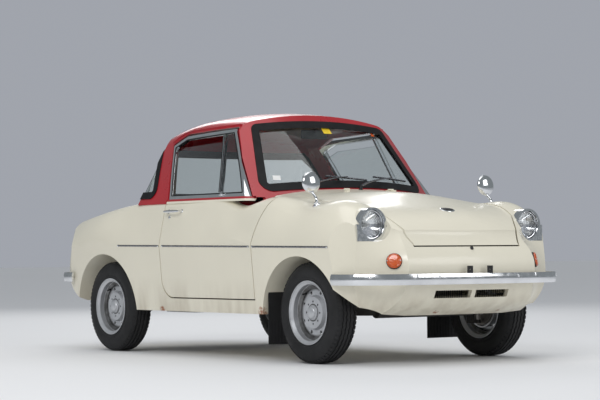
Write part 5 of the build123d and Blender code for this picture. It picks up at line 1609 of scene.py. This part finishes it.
def seat_pad(name, centre, size, turn, channels, *replaced):
    """A stuffed pad with sewn channels, piping and stitches, all on the root."""
    length, width, depth = size
    shrink = PAD_SHRINK
    bm = bmesh.new()
    rounded_block(bm, (0, 0, 0), (length - shrink, width - shrink, depth - shrink), depth * 0.36, steps=4)
    pad = shaped(name, bm, "seat_vinyl", smooth_below=math.pi)
    swollen(pad, bpy.context.scene.coupe_sizes.pad_swell)
    sewn(pad, size, channels)
    pad.data.materials.clear()
    pad.data.materials.append(FINISH["seat_vinyl"])
    tree = BVHTree.FromPolygons([v.co.copy() for v in pad.data.vertices], [list(f.vertices) for f in pad.data.polygons])
    place = Matrix.Translation(centre) @ turn.to_4x4()
    points = []
    outs = []
    for x, y in rounded_outline(length - PIPING_INSET, width - PIPING_INSET, depth * 0.42, steps=5):
        hit, normal = cast(tree, (x, y, depth), (0, 0, -1))
        points.append(hit)
        outs.append(Vector((0, 0, 1)))
    bm = bmesh.new()
    tube(bm, points, 0.0034, 10, loop=True)
    piping = shaped(name + "_piping", bm, "seat_piping")
    piping.data.transform(place)
    settle(piping, "root", "seat_cloth")
    stitches = []
    ways = []
    for start, end in zip(points, points[1:] + points[:1]):
        inward = Vector((-(start + end).x, -(start + end).y, 0)).normalized()
        count = max(1, round((end - start).length / STITCH_PITCH))
        for step in range(count):
            spot_at = start.lerp(end, (step + 0.5) / count) + inward * 0.0090
            hit, normal = cast(tree, (spot_at.x, spot_at.y, depth), (0, 0, -1))
            stitches.append(place @ (hit + normal * 0.0003))
            ways.append((place.to_3x3() @ normal, place.to_3x3() @ (end - start).normalized()))
    sewing = grown(name + "_stitches", "blocks", "thread", stitches, [way[0] for way in ways],
                   [way[1] for way in ways], Size=(STITCH_PITCH * 0.62, 0.0010, 0.0008))
    settle(sewing, "root", "seat_cloth")
    pad.data.transform(place)
    smooth = pad.modifiers.new("smooth", "SUBSURF")
    smooth.levels = smooth.render_levels = 1
    settle(pad, "root", "seat_cloth", *replaced)


class COUPE_OT_seats(bpy.types.Operator):
    """Stuffed front seats and rear bench on their frames"""
    bl_idname = "coupe.seats"
    bl_label = "Seats"

    def execute(self, context):
        level = Matrix.Identity(3)
        lean = math.radians(SEAT_LEAN)
        up = Vector((-math.sin(lean), 0, math.cos(lean)))
        ahead = Vector((math.cos(lean), 0, math.sin(lean)))
        upright = Matrix((up, Vector((0, -1, 0)), ahead)).transposed()
        length, width, depth = SEAT_CUSHION
        for label, side in SIDES:
            y = side * SEAT_Y
            seat_pad(f"seat_cushion_{label}", Vector((SEAT_X + length / 2, y, SEAT_TOP_Z - depth / 2)),
                     SEAT_CUSHION, level, 7, "front_seats")
            tall = SEAT_BACK[0]
            foot = Vector((SEAT_X, y, SEAT_TOP_Z - SEAT_BACK_SINK))
            seat_pad(f"seat_back_{label}", foot + up * (tall / 2 + 0.020), (tall - 0.040, *SEAT_BACK[1:]),
                     upright, 7, "front_seats")
            bm = bmesh.new()
            rounded_block(bm, (SEAT_X + length / 2, y, (FLOOR_TOP_Z + SEAT_TOP_Z - depth) / 2),
                          (length - 0.080, SEAT_STAND_WIDTH, SEAT_TOP_Z - depth - FLOOR_TOP_Z - 0.001), 0.006)
            hinge_x = SEAT_X + 0.004
            for place in (1, -1):
                plate_y = y + place * (width / 2 - 0.006)
                rounded_block(bm, (hinge_x, plate_y, SEAT_TOP_Z - 0.030), (0.060, 0.005, 0.075), 0.002)
            stand = shaped(f"seat_stand_{label}", bm, "chassis_black")
            settle(stand, "root", "black_paint", "front_seats")
        length, width, depth = BENCH_CUSHION
        seat_pad("bench_cushion", Vector((BENCH_X + length / 2, 0, BENCH_TOP_Z - depth / 2)), BENCH_CUSHION,
                 level, 12, "rear_seat")
        back_length, back_width, back_depth = BENCH_BACK
        upright = Matrix((Vector((0, 0, 1)), Vector((0, -1, 0)), Vector((1, 0, 0)))).transposed()
        seat_pad("bench_back", Vector((BENCH_X + back_depth / 2, 0, BENCH_TOP_Z + 0.004 + back_length / 2)),
                 BENCH_BACK, upright, 12, "rear_seat")
        bm = bmesh.new()
        plinth_high = BENCH_TOP_Z - depth - FLOOR_TOP_Z - 0.002
        rounded_block(bm, (BENCH_X + length / 2, 0, FLOOR_TOP_Z + plinth_high / 2 + 0.0005),
                      (length - 0.006, width - 0.010, plinth_high), 0.005)
        plinth = shaped("bench_plinth", bm, "card_vinyl")
        settle(plinth, "root", "seat_cloth", "rear_seat")
        return {"FINISHED"}


class COUPE_OT_stage(bpy.types.Operator):
    """Floor, soft lights, world and camera"""
    bl_idname = "coupe.stage"
    bl_label = "Stage"

    def execute(self, context):
        scene = context.scene
        scene.view_settings.view_transform = "Standard"
        made = bpy.data.materials.new("stage_floor")
        made.use_nodes = True
        shader = made.node_tree.nodes["Principled BSDF"]
        shader.inputs["Base Color"].default_value = (0.80, 0.80, 0.80, 1.0)
        shader.inputs["Roughness"].default_value = 0.8
        mesh = bpy.data.meshes.new("stage_floor")
        reach = 60.0
        mesh.from_pydata([(-reach, -reach, 0), (reach, -reach, 0), (reach, reach, 0), (-reach, reach, 0)],
                         [], [(0, 1, 2, 3)])
        floor = bpy.data.objects.new("stage_floor", mesh)
        scene.collection.objects.link(floor)
        mesh.materials.append(made)
        world = bpy.data.worlds.new("studio")
        world.use_nodes = True
        scene.world = world
        tree = world.node_tree
        ground = tree.nodes["Background"]
        path = add(tree, "ShaderNodeLightPath").outputs
        seen = combine(tree, "MAXIMUM", path["Is Camera Ray"], path["Is Transmission Ray"])
        lit = between(tree, path["Is Glossy Ray"], WORLD_LIGHT, WORLD_MIRRORED)
        tree.links.new(between(tree, seen, lit, WORLD_SEEN), ground.inputs["Color"])
        for name, place, size, power in STUDIO_LAMPS:
            data = bpy.data.lights.new(name, "AREA")
            data.shape = "RECTANGLE"
            data.size, data.size_y = size
            data.energy = power
            lamp = bpy.data.objects.new(name, data)
            lamp.location = place
            aim = Vector((0.2, 0.0, 0.5)) - Vector(place)
            lamp.rotation_mode = "QUATERNION"
            lamp.rotation_quaternion = aim.to_track_quat("-Z", "Y")
            scene.collection.objects.link(lamp)
        data = bpy.data.cameras.new("camera")
        data.lens = 121.2
        data.sensor_width = 36.0
        data.shift_x = 0.0054
        data.shift_y = -0.001
        data.clip_end = 200.0
        camera = bpy.data.objects.new("camera", data)
        yaw, pitch, roll = [math.radians(angle) for angle in (144.49, 1.48, -0.44)]
        ahead = Vector((math.cos(yaw) * math.cos(pitch), math.sin(yaw) * math.cos(pitch), math.sin(pitch)))
        right = ahead.cross(Vector((0, 0, 1))).normalized()
        up = right.cross(ahead)
        level_right = right * math.cos(roll) + up * math.sin(roll)
        level_up = up * math.cos(roll) - right * math.sin(roll)
        turn = Matrix((level_right, level_up, -ahead)).transposed()
        camera.matrix_world = Matrix.Translation((8.5514, -6.0763, 0.5226)) @ turn.to_4x4()
        scene.collection.objects.link(camera)
        scene.camera = camera
        return {"FINISHED"}


WORLD_LIGHT = (0.47, 0.49, 0.52, 1.0)
WORLD_MIRRORED = (0.22, 0.24, 0.25, 1.0)
WORLD_SEEN = (0.355, 0.373, 0.413, 1.0)
STUDIO_LAMPS = (
    ("key", (5.0, -6.5, 5.5), (4.0, 3.0), 260.0),
    ("overhead", (0.5, -0.5, 6.0), (5.0, 4.0), 90.0),
    ("fill", (7.0, 4.0, 3.5), (3.0, 3.0), 70.0),
    ("back", (-6.0, 3.5, 4.5), (4.0, 2.5), 110.0),
)

OPERATORS = (
    COUPE_OT_finishes, COUPE_OT_tyres, COUPE_OT_wheels, COUPE_OT_headlamps, COUPE_OT_indicators,
    COUPE_OT_tail_lamps, COUPE_OT_side_trim, COUPE_OT_mirrors, COUPE_OT_wipers, COUPE_OT_door_handles,
    COUPE_OT_window_seals, COUPE_OT_bumper_fittings, COUPE_OT_nose_fittings, COUPE_OT_tail_fittings,
    COUPE_OT_mud_flaps, COUPE_OT_linings, COUPE_OT_dash_fittings, COUPE_OT_controls, COUPE_OT_seats,
    COUPE_OT_stage,
)


class COUPE_PT_panel(bpy.types.Panel):
    """The car's pieces, group by group"""
    bl_idname = "COUPE_PT_panel"
    bl_label = "Coupe"
    bl_space_type = "VIEW_3D"
    bl_region_type = "UI"
    bl_category = "Coupe"

    def draw(self, context):
        for group in (context.scene.coupe_colours, context.scene.coupe_sizes):
            for key in group.__annotations__:
                self.layout.prop(group, key)
        for operator in OPERATORS:
            self.layout.operator(operator.bl_idname)


CLASSES = (CoupeColours, CoupeSizes, *OPERATORS, COUPE_PT_panel)


def register():
    for made in CLASSES:
        bpy.utils.register_class(made)
    bpy.types.Scene.coupe_colours = bpy.props.PointerProperty(type=CoupeColours)
    bpy.types.Scene.coupe_sizes = bpy.props.PointerProperty(type=CoupeSizes)


def unregister():
    del bpy.types.Scene.coupe_sizes
    del bpy.types.Scene.coupe_colours
    for made in reversed(CLASSES):
        bpy.utils.unregister_class(made)


def main():
    register()
    for operator in OPERATORS:
        group, name = operator.bl_idname.split(".")
        getattr(getattr(bpy.ops, group), name)()


if __name__ == "__main__":
    main()
